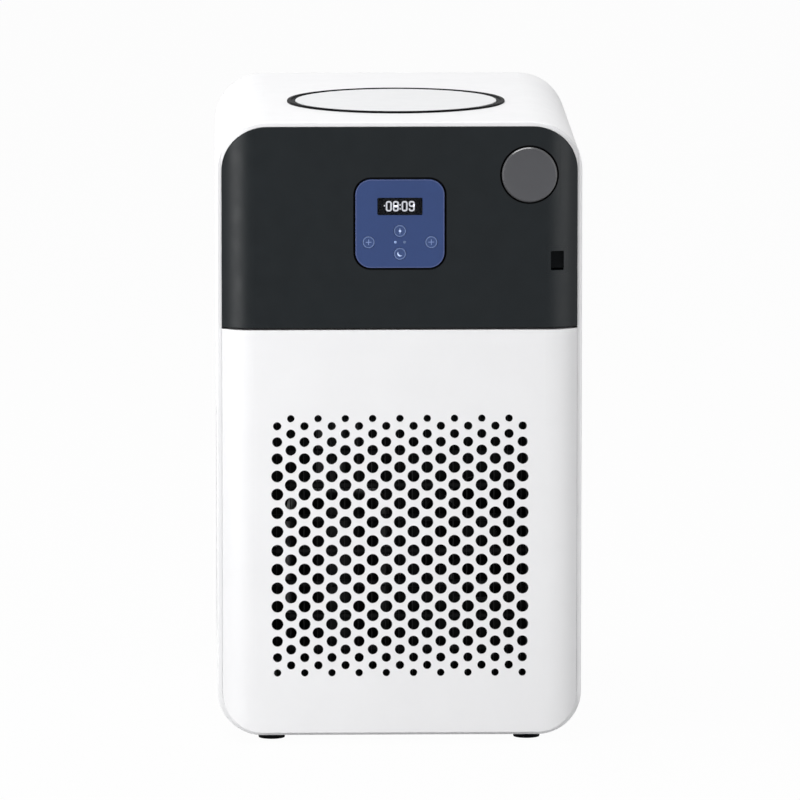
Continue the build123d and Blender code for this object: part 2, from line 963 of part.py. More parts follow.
def make_control_board():
    """Circuit board behind the key panel."""
    reach = key_panel_size / 2 + board_margin
    z_range = (key_panel_centre - reach, key_panel_centre + reach)
    back = board_front + board_thickness
    board = block((-reach, reach), (board_front, back), z_range)
    chip_z = key_panel_centre - board_chip_drop
    chip = Box(board_chip_size, board_chip_depth, board_chip_size)
    board += Pos(board_chip_x, back + board_chip_depth / 2, chip_z) * chip
    relay_z = key_panel_centre - board_relay_drop
    relay = Box(board_relay_width, board_relay_depth, board_relay_height)
    board += Pos(board_relay_x, back + board_relay_depth / 2, relay_z) * relay
    capacitor_z = key_panel_centre + board_capacitor_rise
    capacitor_range = (back, back + board_capacitor_length)
    for step in (-1, 0, 1):
        x = board_capacitor_x + step * board_capacitor_pitch
        board += rod_y(board_capacitor_radius, x, capacitor_range, capacitor_z)
    return board


def make_knob():
    """Round control knob with its shaft."""
    knob = rod_y(knob_radius, knob_x, (-knob_proud, knob_thickness - knob_proud), knob_z)
    knob = fillet(knob.faces().sort_by(Axis.Y)[0].edges(), knob_edge_round)
    encoder_front = knob_recess_depth + knob_recess_floor
    shaft_back = encoder_front + encoder_depth - knob_shaft_gap
    y_range = (knob_thickness - knob_proud, shaft_back)
    return knob + rod_y(knob_shaft_radius, knob_x, y_range, knob_z)


def make_encoder():
    """Rotary encoder behind the knob."""
    front = knob_recess_depth + knob_recess_floor
    half = encoder_size / 2
    back = front + encoder_depth
    z_range = (knob_z - half, knob_z + half)
    body = block((knob_x - half, knob_x + half), (front, back), z_range)
    bore = knob_shaft_radius + running_clearance
    return body - rod_y(bore, knob_x, (front - cut_overrun, back - encoder_wall), knob_z)


def make_switch_housing():
    """Open box that holds the power rocker."""
    half_x = switch_opening_width / 2
    half_z = switch_opening_height / 2
    back = switch_front + switch_depth
    housing = block(
        (switch_x - half_x - switch_wall, switch_x + half_x + switch_wall),
        (switch_front, back),
        (switch_z - half_z - switch_wall, switch_z + half_z + switch_wall),
    )
    housing -= block(
        (switch_x - half_x, switch_x + half_x),
        (switch_front - cut_overrun, back - switch_wall * 2),
        (switch_z - half_z, switch_z + half_z),
    )
    for side in (-1, 1):
        terminal_x = switch_x + side * half_x / 2
        terminal = Box(switch_terminal_width, switch_terminal_length, switch_terminal_height)
        housing += Pos(terminal_x, back + switch_terminal_length / 2, switch_z) * terminal
    pin_reach = half_x + switch_wall + cut_overrun
    pin_range = (switch_x - pin_reach, switch_x + pin_reach)
    pin_radius = rocker_pin_radius + running_clearance
    pivot_y = switch_front + rocker_pivot_depth
    return housing - rod_x(pin_radius, pin_range, pivot_y, switch_z)


def make_rocker():
    """Power rocker with its pivot pin, tilted to its off position."""
    half_x = switch_opening_width / 2 - rocker_clearance
    half_z = switch_opening_height / 2 - rocker_end_gap
    pivot_y = switch_front + rocker_pivot_depth
    outline = Polyline(
        (-rocker_front_reach, half_z),
        (-rocker_valley_reach, 0),
        (-rocker_front_reach, -half_z),
        (0, -half_z + rocker_corner),
        (rocker_back_reach, -rocker_back_half),
        (rocker_back_reach, rocker_back_half),
        (0, half_z - rocker_corner),
        close=True,
    )
    side_plane = Plane(origin=(-half_x, 0, 0), x_dir=(0, 1, 0), z_dir=(1, 0, 0))
    body = extrude(side_plane * make_face(outline), amount=2 * half_x)
    pin_reach = half_x + rocker_clearance + switch_wall - rocker_pin_gap
    body += rod_x(rocker_pin_radius, (-pin_reach, pin_reach), 0, 0)
    return Pos(switch_x, pivot_y, switch_z) * Rot(-rocker_tilt, 0, 0) * body


def make_lid_disc():
    """Round lid plate."""
    disc = rod_z(lid_radius, 0, bath_centre_y, (lid_bottom, lid_top))
    return fillet(disc.faces().sort_by(Axis.Z)[-1].edges(), lid_edge_round)


def make_lid_gasket():
    """Flat rubber ring under the lid plate."""
    outer = lid_radius - lid_gasket_inset
    inner = outer - lid_gasket_width
    return pipe_z(outer, inner, 0, bath_centre_y, (rim_seat_top, lid_bottom))


def make_lid_core():
    """Insulating plug under the lid plate."""
    z_range = (lid_bottom - lid_core_depth, lid_bottom)
    return rod_z(lid_core_radius, 0, bath_centre_y, z_range)


def make_bath_rim():
    """Black ring round the bath opening: seat, neck, flange and outer bead."""
    neck_outer = lid_opening_radius - panel_clearance
    neck_inner = neck_outer - rim_neck_thickness
    y = bath_centre_y
    bead_inner = rim_radius - rim_bead_width
    bead = pipe_z(rim_radius, bead_inner, 0, y, (casing_top, casing_top + rim_bead_height))
    bead = fillet(bead.faces().sort_by(Axis.Z)[-1].edges(), rim_bead_round)
    rim = pipe_z(rim_radius, neck_inner, 0, y, (casing_top, rim_flange_top)) + bead
    rim += pipe_z(neck_outer, neck_inner, 0, y, (rim_seat_bottom, rim_flange_top))
    rim += pipe_z(neck_outer, rim_seat_radius, 0, y, (rim_seat_bottom, rim_seat_top))
    return rim


def make_tank():
    """Stainless bath with its flange, spigots and bottom passages."""
    y = bath_centre_y
    tank = rod_z(tank_outer, 0, y, (tank_bottom, rim_seat_bottom))
    tank += rod_z(tank_flange_radius, 0, y, (tank_flange_bottom, rim_seat_bottom))
    floor_above = tank_bottom + tank_wall
    tank -= rod_z(tank_radius, 0, y, (floor_above, rim_seat_bottom + cut_overrun))
    bore_range = (spigot_end - cut_overrun, floor_above + cut_overrun)
    for x, offset in spigot_places():
        tank += rod_z(spigot_radius, x, y + offset, (spigot_end, tank_bottom + tank_wall / 2))
        tank -= rod_z(spigot_bore, x, y + offset, bore_range)
    side_start = y + math.sqrt(tank_radius**2 - (port_reach + spigot_radius) ** 2)
    spigot_back = return_hose_start() + port_inner_length
    spigot = rod_y(spigot_radius, port_reach, (side_start, spigot_back), port_height)
    tank += spigot - rod_z(tank_radius, 0, y, (tank_bottom, rim_seat_bottom))
    cut_range = (side_start - cut_overrun, spigot_back + cut_overrun)
    tank -= rod_y(spigot_bore, port_reach, cut_range, port_height)
    for x, offset, radius in bottom_passages():
        z_range = (tank_bottom - cut_overrun, floor_above + cut_overrun)
        tank -= rod_z(radius + running_clearance, x, y + offset, z_range)
    return tank


def insulation_back(x):
    """Depth of the insulation's rear face at a place across."""
    return bath_centre_y + math.sqrt(insulation_radius**2 - x**2)


def return_hose_start():
    """Depth at which the return hose starts, just clear of the insulation."""
    return insulation_back(port_reach - hose_outer) + seat_clearance


def make_insulation():
    """Foam jacket round the bath, with holes for all that passes through it."""
    y = bath_centre_y
    jacket = rod_z(insulation_radius, 0, y, (deck_top, inner_top - seat_clearance))
    collar_radius = tank_flange_radius - seat_clearance
    jacket += rod_z(collar_radius, 0, y, (inner_top - cut_overrun, tank_flange_bottom))
    jacket -= rod_z(tank_outer + seat_clearance, 0, y, (tank_bottom, rim_seat_bottom))
    cuts = bottom_passages()
    cuts += [(x, offset, spigot_radius) for x, offset in spigot_places()]
    z_range = (deck_top - cut_overrun, tank_bottom + cut_overrun)
    for x, offset, radius in cuts:
        jacket -= rod_z(radius + seat_clearance, x, y + offset, z_range)
    side_range = (y, y + insulation_radius)
    side_cut = rod_y(spigot_radius + seat_clearance, port_reach, side_range, port_height)
    return jacket - side_cut


def make_deck():
    """Shelf that carries the bath above the cooling compartment."""
    rear_flange_front = rear_panel_front - flange_thickness
    deck = casing_inside(seat_clearance, flange_back, rear_flange_front) & block(
        (-half_width, half_width), (0, casing_back), (deck_bottom, deck_top)
    )
    y = bath_centre_y
    cuts = [(x, y + offset, radius) for x, offset, radius in bottom_passages()]
    cuts += [(x, y + offset, spigot_radius) for x, offset in spigot_places()]
    cuts.append((-port_reach, pump_front + pump_depth / 2, hose_outer))
    z_range = (deck_bottom - cut_overrun, deck_top + cut_overrun)
    for x, y, radius in cuts:
        deck -= rod_z(radius + seat_clearance, x, y, z_range)
    return deck


def make_cooling_coil():
    """Evaporator: half turns that climb evenly, with both ends led down."""
    radius = math.hypot(coil_radius, coil_pitch / 4)
    edges = []
    outer_x, outer_offset = coil_leg_places()[0]
    bend_low = bath_point(outer_x, outer_offset, coil_bottom - coil_end_bend)
    slant = coil_end_bend * (1 - math.sqrt(0.5))
    edges.append(Line(bath_point(outer_x, outer_offset, line_end_height), bend_low).edge())
    bend_middle = bath_point(outer_x, outer_offset + slant, coil_bottom - slant)
    edges.append(arc(bend_low, bend_middle, bath_point(coil_radius, 0, coil_bottom)))
    for half_turn in range(2 * coil_turns):
        side = 1 if half_turn % 2 == 0 else -1
        low = coil_bottom + half_turn * coil_pitch / 2
        start = bath_point(side * coil_radius, 0, low)
        middle = bath_point(0, side * radius, low + coil_pitch / 4)
        end = bath_point(-side * coil_radius, 0, low + coil_pitch / 2)
        edges.append(arc(start, middle, end))
    inward = coil_inward_bend
    plan_slant = inward * (1 - math.sqrt(0.5))
    turn_middle = bath_point(coil_radius - plan_slant, inward - plan_slant, coil_top)
    turn_end = bath_point(coil_radius - inward, inward, coil_top)
    edges.append(arc(bath_point(coil_radius, 0, coil_top), turn_middle, turn_end))
    inner_x, inner_offset = coil_leg_places()[1]
    drop_middle = bath_point(inner_x + slant, inner_offset, coil_top - slant)
    drop_end = bath_point(inner_x, inner_offset, coil_top - coil_end_bend)
    edges.append(arc(turn_end, drop_middle, drop_end))
    edges.append(Line(drop_end, bath_point(inner_x, inner_offset, line_end_height)).edge())
    print("cooling coil gap between turns", round(coil_pitch - 2 * coil_tube_radius, 2))
    return tube(edges, coil_tube_radius)


def make_heater():
    """Tubular heater: one open ring with both ends led down."""
    first = math.radians(-90 + heater_gap_angle)
    last = math.radians(270 - heater_gap_angle)
    slant = heater_bend * (1 - math.sqrt(0.5))
    bottom = deck_bottom - heater_leg_reach

    def ring_point(angle, along=0.0, drop=0.0):
        """Point on the heater's ring, moved along its tangent and down."""
        x = heater_ring_radius * math.cos(angle) - along * math.sin(angle)
        offset = heater_ring_radius * math.sin(angle) + along * math.cos(angle)
        return bath_point(x, offset, heater_height - drop)

    rise = ring_point(first, -heater_bend, heater_bend)
    fall = ring_point(last, heater_bend, heater_bend)
    edges = [
        Line((rise[0], rise[1], bottom), rise).edge(),
        arc(rise, ring_point(first, slant - heater_bend, slant), ring_point(first)),
        arc(ring_point(first), ring_point(math.pi / 2), ring_point(last)),
        arc(ring_point(last), ring_point(last, heater_bend - slant, slant), fall),
        Line(fall, (fall[0], fall[1], bottom)).edge(),
    ]
    return tube(edges, heater_tube_radius)


def make_probe():
    """Temperature probe that stands up in the bath."""
    y = bath_centre_y + probe_offset
    probe = rod_z(probe_radius, 0, y, (deck_bottom - probe_leg_reach, probe_top))
    return fillet(probe.faces().sort_by(Axis.Z)[-1].edges(), probe_tip_round)


def make_pump_housing():
    """Volute with its inlet, outlet and foot."""
    y_range = (pump_front, pump_back)
    z = pump_axis_height
    outlet_x = pump_x - pump_outlet_reach
    outlet_y = (pump_front + pump_back) / 2
    inlet_range = (pump_front - pump_inlet_length, pump_front)
    body = rod_y(pump_radius, pump_x, y_range, z)
    body += rod_y(spigot_radius, pump_x, inlet_range, z)
    body += rod_z(spigot_radius, outlet_x, outlet_y, (z, pump_outlet_top))
    foot_x = (pump_x - pump_foot_half_width, pump_x + pump_foot_half_width)
    body += block(foot_x, y_range, (floor_top, z - pump_radius / 2))
    cavity_range = (pump_front + pump_wall, pump_back - pump_wall)
    body -= rod_y(pump_radius - pump_wall, pump_x, cavity_range, z)
    inlet_bore = (inlet_range[0] - cut_overrun, pump_front + pump_wall)
    body -= rod_y(spigot_bore, pump_x, inlet_bore, z)
    body -= rod_z(spigot_bore, outlet_x, outlet_y, (z, pump_outlet_top + cut_overrun))
    shaft_bore = pump_shaft_radius + running_clearance
    back_range = (pump_back - pump_wall - cut_overrun, pump_back + cut_overrun)
    return body - rod_y(shaft_bore, pump_x, back_range, z)


def make_impeller():
    """Pump wheel with straight vanes on its shaft."""
    z = pump_axis_height
    disc_back = pump_back - pump_wall - impeller_gap
    disc_front = disc_back - impeller_disc
    vane_front = pump_front + pump_wall + impeller_gap
    wheel = rod_y(impeller_radius, pump_x, (disc_front, disc_back), z)
    wheel += rod_y(pump_shaft_radius * 2, pump_x, (vane_front, disc_front), z)
    for blade in range(impeller_blades):
        vane = block(
            (pump_shaft_radius, impeller_radius),
            (vane_front, disc_front),
            (-impeller_blade_width / 2, impeller_blade_width / 2),
        )
        turn = 360 * blade / impeller_blades
        wheel += Pos(pump_x, 0, z) * Rot(0, turn, 0) * vane
    shaft_range = (disc_back, pump_back + pump_shaft_reach)
    return wheel + rod_y(pump_shaft_radius, pump_x, shaft_range, z)


def make_pump_motor():
    """Pump motor with its foot and cooling ribs."""
    z = pump_axis_height
    back = pump_back + pump_motor_length
    motor = rod_y(pump_motor_radius, pump_x, (pump_back, back), z)
    foot_x = (pump_x - pump_foot_half_width, pump_x + pump_foot_half_width)
    foot_y = (pump_back + pump_motor_foot_inset, back - pump_motor_foot_inset)
    motor += block(foot_x, foot_y, (floor_top, z - pump_motor_radius / 2))
    shaft_bore = pump_shaft_radius + running_clearance
    bore_range = (pump_back - cut_overrun, pump_back + pump_shaft_reach + cut_overrun)
    return motor - rod_y(shaft_bore, pump_x, bore_range, z)


def make_suction_hose():
    """Hose from the bath's bottom to the pump inlet."""
    y = bath_centre_y + suction_offset
    points = [
        (suction_x, y, deck_bottom - hose_deck_gap),
        (suction_x, y, pump_axis_height),
        (suction_x, pump_front - hose_end_gap, pump_axis_height),
    ]
    return tube(bent_line(points, hose_bend), hose_outer, hose_inner)


def make_outlet_hose():
    """Hose from the pump outlet up to the outlet port."""
    x = pump_x - pump_outlet_reach
    y = (pump_front + pump_back) / 2
    points = [
        (x, y, pump_outlet_top - hose_grip),
        (x, y, port_height),
        (x, port_hose_end, port_height),
    ]
    return tube(bent_line(points, hose_bend), hose_outer, hose_inner)


def make_return_hose():
    """Straight hose from the return port to the bath."""
    y_range = (return_hose_start(), port_hose_end)
    return pipe_y(hose_outer, hose_inner, port_reach, y_range, port_height)


def make_drain_hose():
    """Hose from the bath's bottom to the drain tap."""
    y = bath_centre_y + drain_offset
    points = [
        (drain_x, y, deck_bottom - hose_deck_gap),
        (drain_x, y, drain_height),
        (drain_x, port_hose_end, drain_height),
    ]
    return tube(bent_line(points, hose_bend), hose_outer, hose_inner)


def panel_union(x, z):
    """What a hose fitting has in and behind the rear panel: shank, nut and spigot."""
    union = rod_y(port_body_radius, x, (port_nut_front, rear_panel_back), z)
    union += rod_y(port_flange_radius, x, (port_nut_front, rear_panel_front), z)
    return union + rod_y(spigot_radius, x, (port_spigot_front, port_nut_front), z)


def make_port(x):
    """Hose port through the rear panel, with a nozzle outside and a spigot inside."""
    z = port_height
    flange_range = (rear_panel_back, rear_panel_back + port_flange_thickness)
    nozzle_range = (flange_range[1], flange_range[1] + port_nozzle_length)
    bore_range = (port_spigot_front - cut_overrun, nozzle_range[1] + cut_overrun)
    body = rod_y(port_flange_radius, x, flange_range, z)
    body += rod_y(port_nozzle_radius, x, nozzle_range, z)
    body += panel_union(x, z)
    return body - rod_y(port_bore, x, bore_range, z)


def make_drain_tap():
    """Drain tap body: spigot inside, valve block and nozzle outside."""
    x = drain_x
    z = drain_height
    half = tap_block_size / 2
    block_range = (rear_panel_back, rear_panel_back + tap_block_depth)
    nozzle_range = (block_range[1], block_range[1] + tap_nozzle_length)
    body = block((x - half, x + half), block_range, (z - half, z + half))
    body += rod_y(tap_nozzle_radius, x, nozzle_range, z)
    body += panel_union(x, z)
    bore_range = (port_spigot_front - cut_overrun, nozzle_range[1] + cut_overrun)
    body -= rod_y(port_bore, x, bore_range, z)
    stem_y = (block_range[0] + block_range[1]) / 2
    stem_bore = tap_stem_radius + running_clearance
    stem_range = (z + half - tap_stem_depth - cut_overrun, z + half + cut_overrun)
    return body - rod_z(stem_bore, x, stem_y, stem_range)


def make_drain_handle():
    """Drain lever on its stem, across the flow while the tap is shut."""
    x = drain_x
    y = rear_panel_back + tap_block_depth / 2
    top = drain_height + tap_block_size / 2
    lever_range = (top + seat_clearance, top + seat_clearance + tap_lever_thickness)
    half = tap_lever_width / 2
    lever = rod_z(half, x, y, lever_range)
    lever += block((x, x + tap_lever_length), (y - half, y + half), lever_range)
    lever += rod_z(half, x + tap_lever_length, y, lever_range)
    return lever + rod_z(tap_stem_radius, x, y, (top - tap_stem_depth, lever_range[0]))


def make_rear_panel():
    """Rear cover with its air slots and the holes for its fittings."""
    panel = casing_inside(panel_clearance, rear_panel_front, rear_panel_back)
    y_range = (rear_panel_front - cut_overrun, rear_panel_back + cut_overrun)
    fitting_hole = port_body_radius + running_clearance
    fittings = [(-port_reach, port_height), (port_reach, port_height), (drain_x, drain_height)]
    for x, z in fittings:
        panel -= rod_y(fitting_hole, x, y_range, z)
    half_x = inlet_width / 2 + running_clearance
    half_z = inlet_height / 2 + running_clearance
    z_range = (inlet_z - half_z, inlet_z + half_z)
    panel -= block((inlet_x - half_x, inlet_x + half_x), y_range, z_range)
    for x, z in screw_places():
        panel -= rod_y(screw_radius + seat_clearance, x, y_range, z)
    slots = Sketch() + [
        Pos((column - (rear_slot_columns - 1) / 2) * rear_slot_pitch, height)
        * Rot(0, 0, 90)
        * SlotOverall(rear_slot_height, rear_slot_width)
        for column in range(rear_slot_columns)
        for height in rear_slot_rows
    ]
    depth = rear_panel_thickness + cut_overrun
    return panel - extrude(facing_plane(rear_panel_front) * slots, amount=depth, both=True)


def make_rear_screws():
    """Pan head screws of the rear panel, with a driver slot."""
    head_back = rear_panel_back + screw_head_height
    head = rod_y(screw_head_radius, 0, (rear_panel_back, head_back), 0)
    head = fillet(head.faces().sort_by(Axis.Y)[-1].edges(), screw_head_round)
    shank = rod_y(screw_radius, 0, (rear_panel_back - screw_length, rear_panel_back), 0)
    slot = block(
        (-screw_slot_length / 2, screw_slot_length / 2),
        (head_back - screw_slot_depth, head_back + cut_overrun),
        (-screw_slot_width / 2, screw_slot_width / 2),
    )
    screw = head + shank - slot
    return [Pos(x, 0, z) * screw for x, z in screw_places()]


def make_mains_inlet():
    """Three-blade mains inlet with its flange and socket."""
    half_x = inlet_width / 2
    half_z = inlet_height / 2
    margin = inlet_flange_margin
    flange_back = rear_panel_back + inlet_flange_thickness
    body = block(
        (inlet_x - half_x, inlet_x + half_x),
        (flange_back - inlet_depth, rear_panel_back),
        (inlet_z - half_z, inlet_z + half_z),
    )
    body += block(
        (inlet_x - half_x - margin, inlet_x + half_x + margin),
        (rear_panel_back, flange_back),
        (inlet_z - half_z - margin, inlet_z + half_z + margin),
    )
    socket_front = flange_back - inlet_socket_depth
    body -= block(
        (inlet_x - half_x + inlet_wall, inlet_x + half_x - inlet_wall),
        (socket_front, flange_back + cut_overrun),
        (inlet_z - half_z + inlet_wall, inlet_z + half_z - inlet_wall),
    )
    blades = [(0, inlet_earth_rise)]
    blades += [(side * inlet_blade_reach, 0) for side in (-1, 1)]
    for across, up in blades:
        x = inlet_x + across
        z = inlet_z + up
        body += block(
            (x - inlet_blade_width / 2, x + inlet_blade_width / 2),
            (socket_front - cut_overrun, socket_front + inlet_blade_length),
            (z - inlet_blade_height / 2, z + inlet_blade_height / 2),
        )
    return body


def make_compressor():
    """Welded compressor can with its domed top, three feet and two line stubs."""
    x = compressor_x
    y = compressor_y
    can = rod_z(compressor_radius, x, y, (compressor_bottom, compressor_top))
    can = fillet(can.faces().sort_by(Axis.Z)[-1].edges(), compressor_dome)
    half = compressor_foot_width / 2
    z_range = (compressor_bottom, compressor_bottom + compressor_foot_thickness)
    foot = block((0, compressor_foot_reach), (-half, half), z_range)
    foot += rod_z(half, compressor_foot_reach, 0, z_range)
    for angle in compressor_foot_angles:
        can += Pos(x, y, 0) * Rot(0, 0, angle) * foot
    left = (x - compressor_radius - stub_length, x - compressor_radius / 2)
    right = (x + compressor_radius / 2, x + compressor_radius + stub_length)
    can += rod_x(liquid_tube_radius, left, y, discharge_height)
    can += rod_x(coil_tube_radius, right, y, suction_height)
    return can


def make_grommets():
    """Rubber mounts under the compressor's feet."""
    grommets = []
    for angle in compressor_foot_angles:
        x = compressor_x + compressor_foot_reach * math.cos(math.radians(angle))
        y = compressor_y + compressor_foot_reach * math.sin(math.radians(angle))
        grommets.append(rod_z(grommet_radius, x, y, (floor_top, compressor_bottom)))
    return grommets


def condenser_heights():
    """Heights of the condenser's passes."""
    return [condenser_first_pass + step * condenser_pitch for step in range(condenser_passes)]


def make_fins():
    """Upright condenser fins, one behind each column of the grille."""
    y = fin_front + fin_depth / 2
    fins = []
    fin = block(
        (-fin_thickness / 2, fin_thickness / 2),
        (fin_front, fin_front + fin_depth),
        (fin_bottom, fin_top),
    )
    hole_range = (-fin_thickness, fin_thickness)
    for height in condenser_heights():
        fin -= rod_x(condenser_tube_radius + fin_tube_clearance, hole_range, y, height)
    for step in range(-fins_each_side, fins_each_side + 1):
        fins.append(Pos(step * fin_pitch, 0, 0) * fin)
    return fins


def make_condenser_tube():
    """Condenser tube that runs to and fro through the fins."""
    y = fin_front + fin_depth / 2
    reach = condenser_frame_reach
    bend = condenser_pitch / 2
    edges = []
    heights = condenser_heights()
    for index, height in enumerate(heights):
        side = 1 if index % 2 == 0 else -1
        start_x = -side * reach
        if index == 0:
            start_x -= condenser_stub
        end_x = side * reach
        if index == condenser_passes - 1:
            end_x -= condenser_stub
        edges.append(Line((start_x, y, height), (end_x, y, height)).edge())
        if index < condenser_passes - 1:
            middle = (end_x + side * bend, y, height + bend)
            edges.append(arc((end_x, y, height), middle, (end_x, y, heights[index + 1])))
    return tube(edges, condenser_tube_radius)


def make_condenser_frame():
    """Two end plates that stand on the floor and carry the condenser tube."""
    plates = []
    y = fin_front + fin_depth / 2
    y_range = (fin_front - condenser_frame_front_margin, shroud_front)
    for side in (-1, 1):
        inner = side * (condenser_frame_reach - condenser_frame_thickness)
        outer = side * condenser_frame_reach
        x_range = (min(inner, outer), max(inner, outer))
        plate = block(x_range, y_range, (floor_top, condenser_top))
        hole_x = (x_range[0] - cut_overrun, x_range[1] + cut_overrun)
        for height in condenser_heights():
            plate -= rod_x(condenser_tube_radius + fin_tube_clearance, hole_x, y, height)
        plates.append(plate)
    return plates


def make_shroud():
    """Plate behind the condenser with the fan's ring."""
    x_range = (fan_x - shroud_reach, fan_x + shroud_reach)
    inner = fan_radius + fan_tip_gap
    body = block(x_range, (shroud_front, shroud_back), (floor_top, condenser_top))
    body &= casing_inside(seat_clearance, shroud_front - cut_overrun, shroud_back + cut_overrun)
    body += rod_y(inner + fan_ring_wall, fan_x, (shroud_back, fan_ring_back), fan_z)
    through = (shroud_front - cut_overrun, fan_ring_back + cut_overrun)
    return body - rod_y(inner, fan_x, through, fan_z)


def make_fan_rotor():
    """Axial fan wheel with pitched blades and its shaft."""
    front = shroud_back + fan_front_gap
    back = front + fan_hub_depth
    hub = rod_y(fan_hub_radius, fan_x, (front, back), fan_z)
    middle = (front + back) / 2
    blade = block(
        (fan_hub_radius / 2, fan_radius),
        (-fan_blade_thickness / 2, fan_blade_thickness / 2),
        (-fan_blade_width / 2, fan_blade_width / 2),
    )
    blade = Rot(fan_blade_angle, 0, 0) * blade
    for index in range(fan_blades):
        hub += Pos(fan_x, middle, fan_z) * Rot(0, 360 * index / fan_blades, 0) * blade
    rotor = hub & rod_y(fan_radius, fan_x, (shroud_back, fan_ring_back), fan_z)
    shaft_range = (back, fan_ring_back + fan_shaft_reach)
    return rotor + rod_y(fan_shaft_radius, fan_x, shaft_range, fan_z)


def make_fan_motor():
    """Fan motor on four arms that reach the shroud's ring."""
    front = fan_ring_back
    motor = rod_y(fan_motor_radius, fan_x, (front, front + fan_motor_length), fan_z)
    reach = fan_radius + fan_tip_gap + fan_ring_wall * 0.75
    half = fan_arm_width / 2
    arm = block((0, reach), (front, front + fan_arm_thickness), (-half, half))
    for turn in fan_arm_angles:
        motor += Pos(fan_x, 0, fan_z) * Rot(0, turn, 0) * arm
    bore = fan_shaft_radius + running_clearance
    bore_range = (front - cut_overrun, front + fan_shaft_reach + cut_overrun)
    return motor - rod_y(bore, fan_x, bore_range, fan_z)


def make_drier():
    """Filter drier between the condenser and the bath's coil."""
    y_range = (drier_start, drier_start + drier_length)
    z = condenser_first_pass
    can_range = (y_range[0] + drier_neck_length, y_range[1] - drier_neck_length)
    body = rod_y(drier_radius, -line_side_reach, can_range, z)
    ends = body.edges().filter_by(GeomType.CIRCLE)
    body = fillet(ends, drier_end_round)
    return body + rod_y(liquid_tube_radius, -line_side_reach, y_range, z)


def make_discharge_line():
    """Line from the compressor to the condenser's top."""
    y = fin_front + fin_depth / 2
    top = condenser_heights()[-1]
    points = [
        (-condenser_frame_reach - condenser_stub, y, top),
        (-line_side_reach, y, top),
        (-line_side_reach, compressor_y, top),
        (-line_side_reach, compressor_y, discharge_height),
        (compressor_x - compressor_radius - stub_length, compressor_y, discharge_height),
    ]
    return tube(bent_line(points, line_bend), liquid_tube_radius)


def make_liquid_lines():
    """Lines from the condenser to the drier and on to the bath's coil."""
    y = fin_front + fin_depth / 2
    z = condenser_first_pass
    side = -line_side_reach
    first = [
        (-condenser_frame_reach - condenser_stub, y, z),
        (side, y, z),
        (side, drier_start, z),
    ]
    inner_x, inner_offset = coil_leg_places()[1]
    coil_y = bath_centre_y + inner_offset
    second = [
        (side, drier_start + drier_length, z),
        (side, liquid_riser_y, z),
        (side, liquid_riser_y, liquid_top),
        (inner_x, liquid_riser_y, liquid_top),
        (inner_x, coil_y, liquid_top),
        (inner_x, coil_y, line_end_height),
    ]
    return [tube(bent_line(points, line_bend), liquid_tube_radius) for points in (first, second)]


def make_suction_line():
    """Line from the bath's coil back to the compressor."""
    outer_x, outer_offset = coil_leg_places()[0]
    y = bath_centre_y + outer_offset
    points = [
        (outer_x, y, line_end_height),
        (outer_x, y, suction_line_z),
        (outer_x, suction_line_y, suction_line_z),
        (suction_line_x, suction_line_y, suction_line_z),
        (suction_line_x, suction_line_y, suction_height),
        (suction_line_x, compressor_y, suction_height),
        (compressor_x + compressor_radius + stub_length, compressor_y, suction_height),
    ]
    return tube(bent_line(points, line_bend), coil_tube_radius)


def make_power_box():
    """Mains and relay box on the deck."""
    high_x = inner_half - rail_width
    y_range = (power_box_back - power_box_depth, power_box_back)
    z_range = (deck_top, deck_top + power_box_height)
    box = block((high_x - power_box_width, high_x), y_range, z_range)
    return chamfer(box.edges().filter_by(Axis.Z), power_box_chamfer)


def write_part(name, shape):
    """Write one node's solids, moved so that the origin is under the middle of the whole."""
    pieces = shape if isinstance(shape, list) else [shape]
    to_middle = Pos(0, -depth_centre, 0)
    solids = [to_middle * solid for piece in pieces for solid in piece.solids()]
    path = os.path.join("parts", name + ".step")
    export_step(Compound(children=solids, label=name), path)


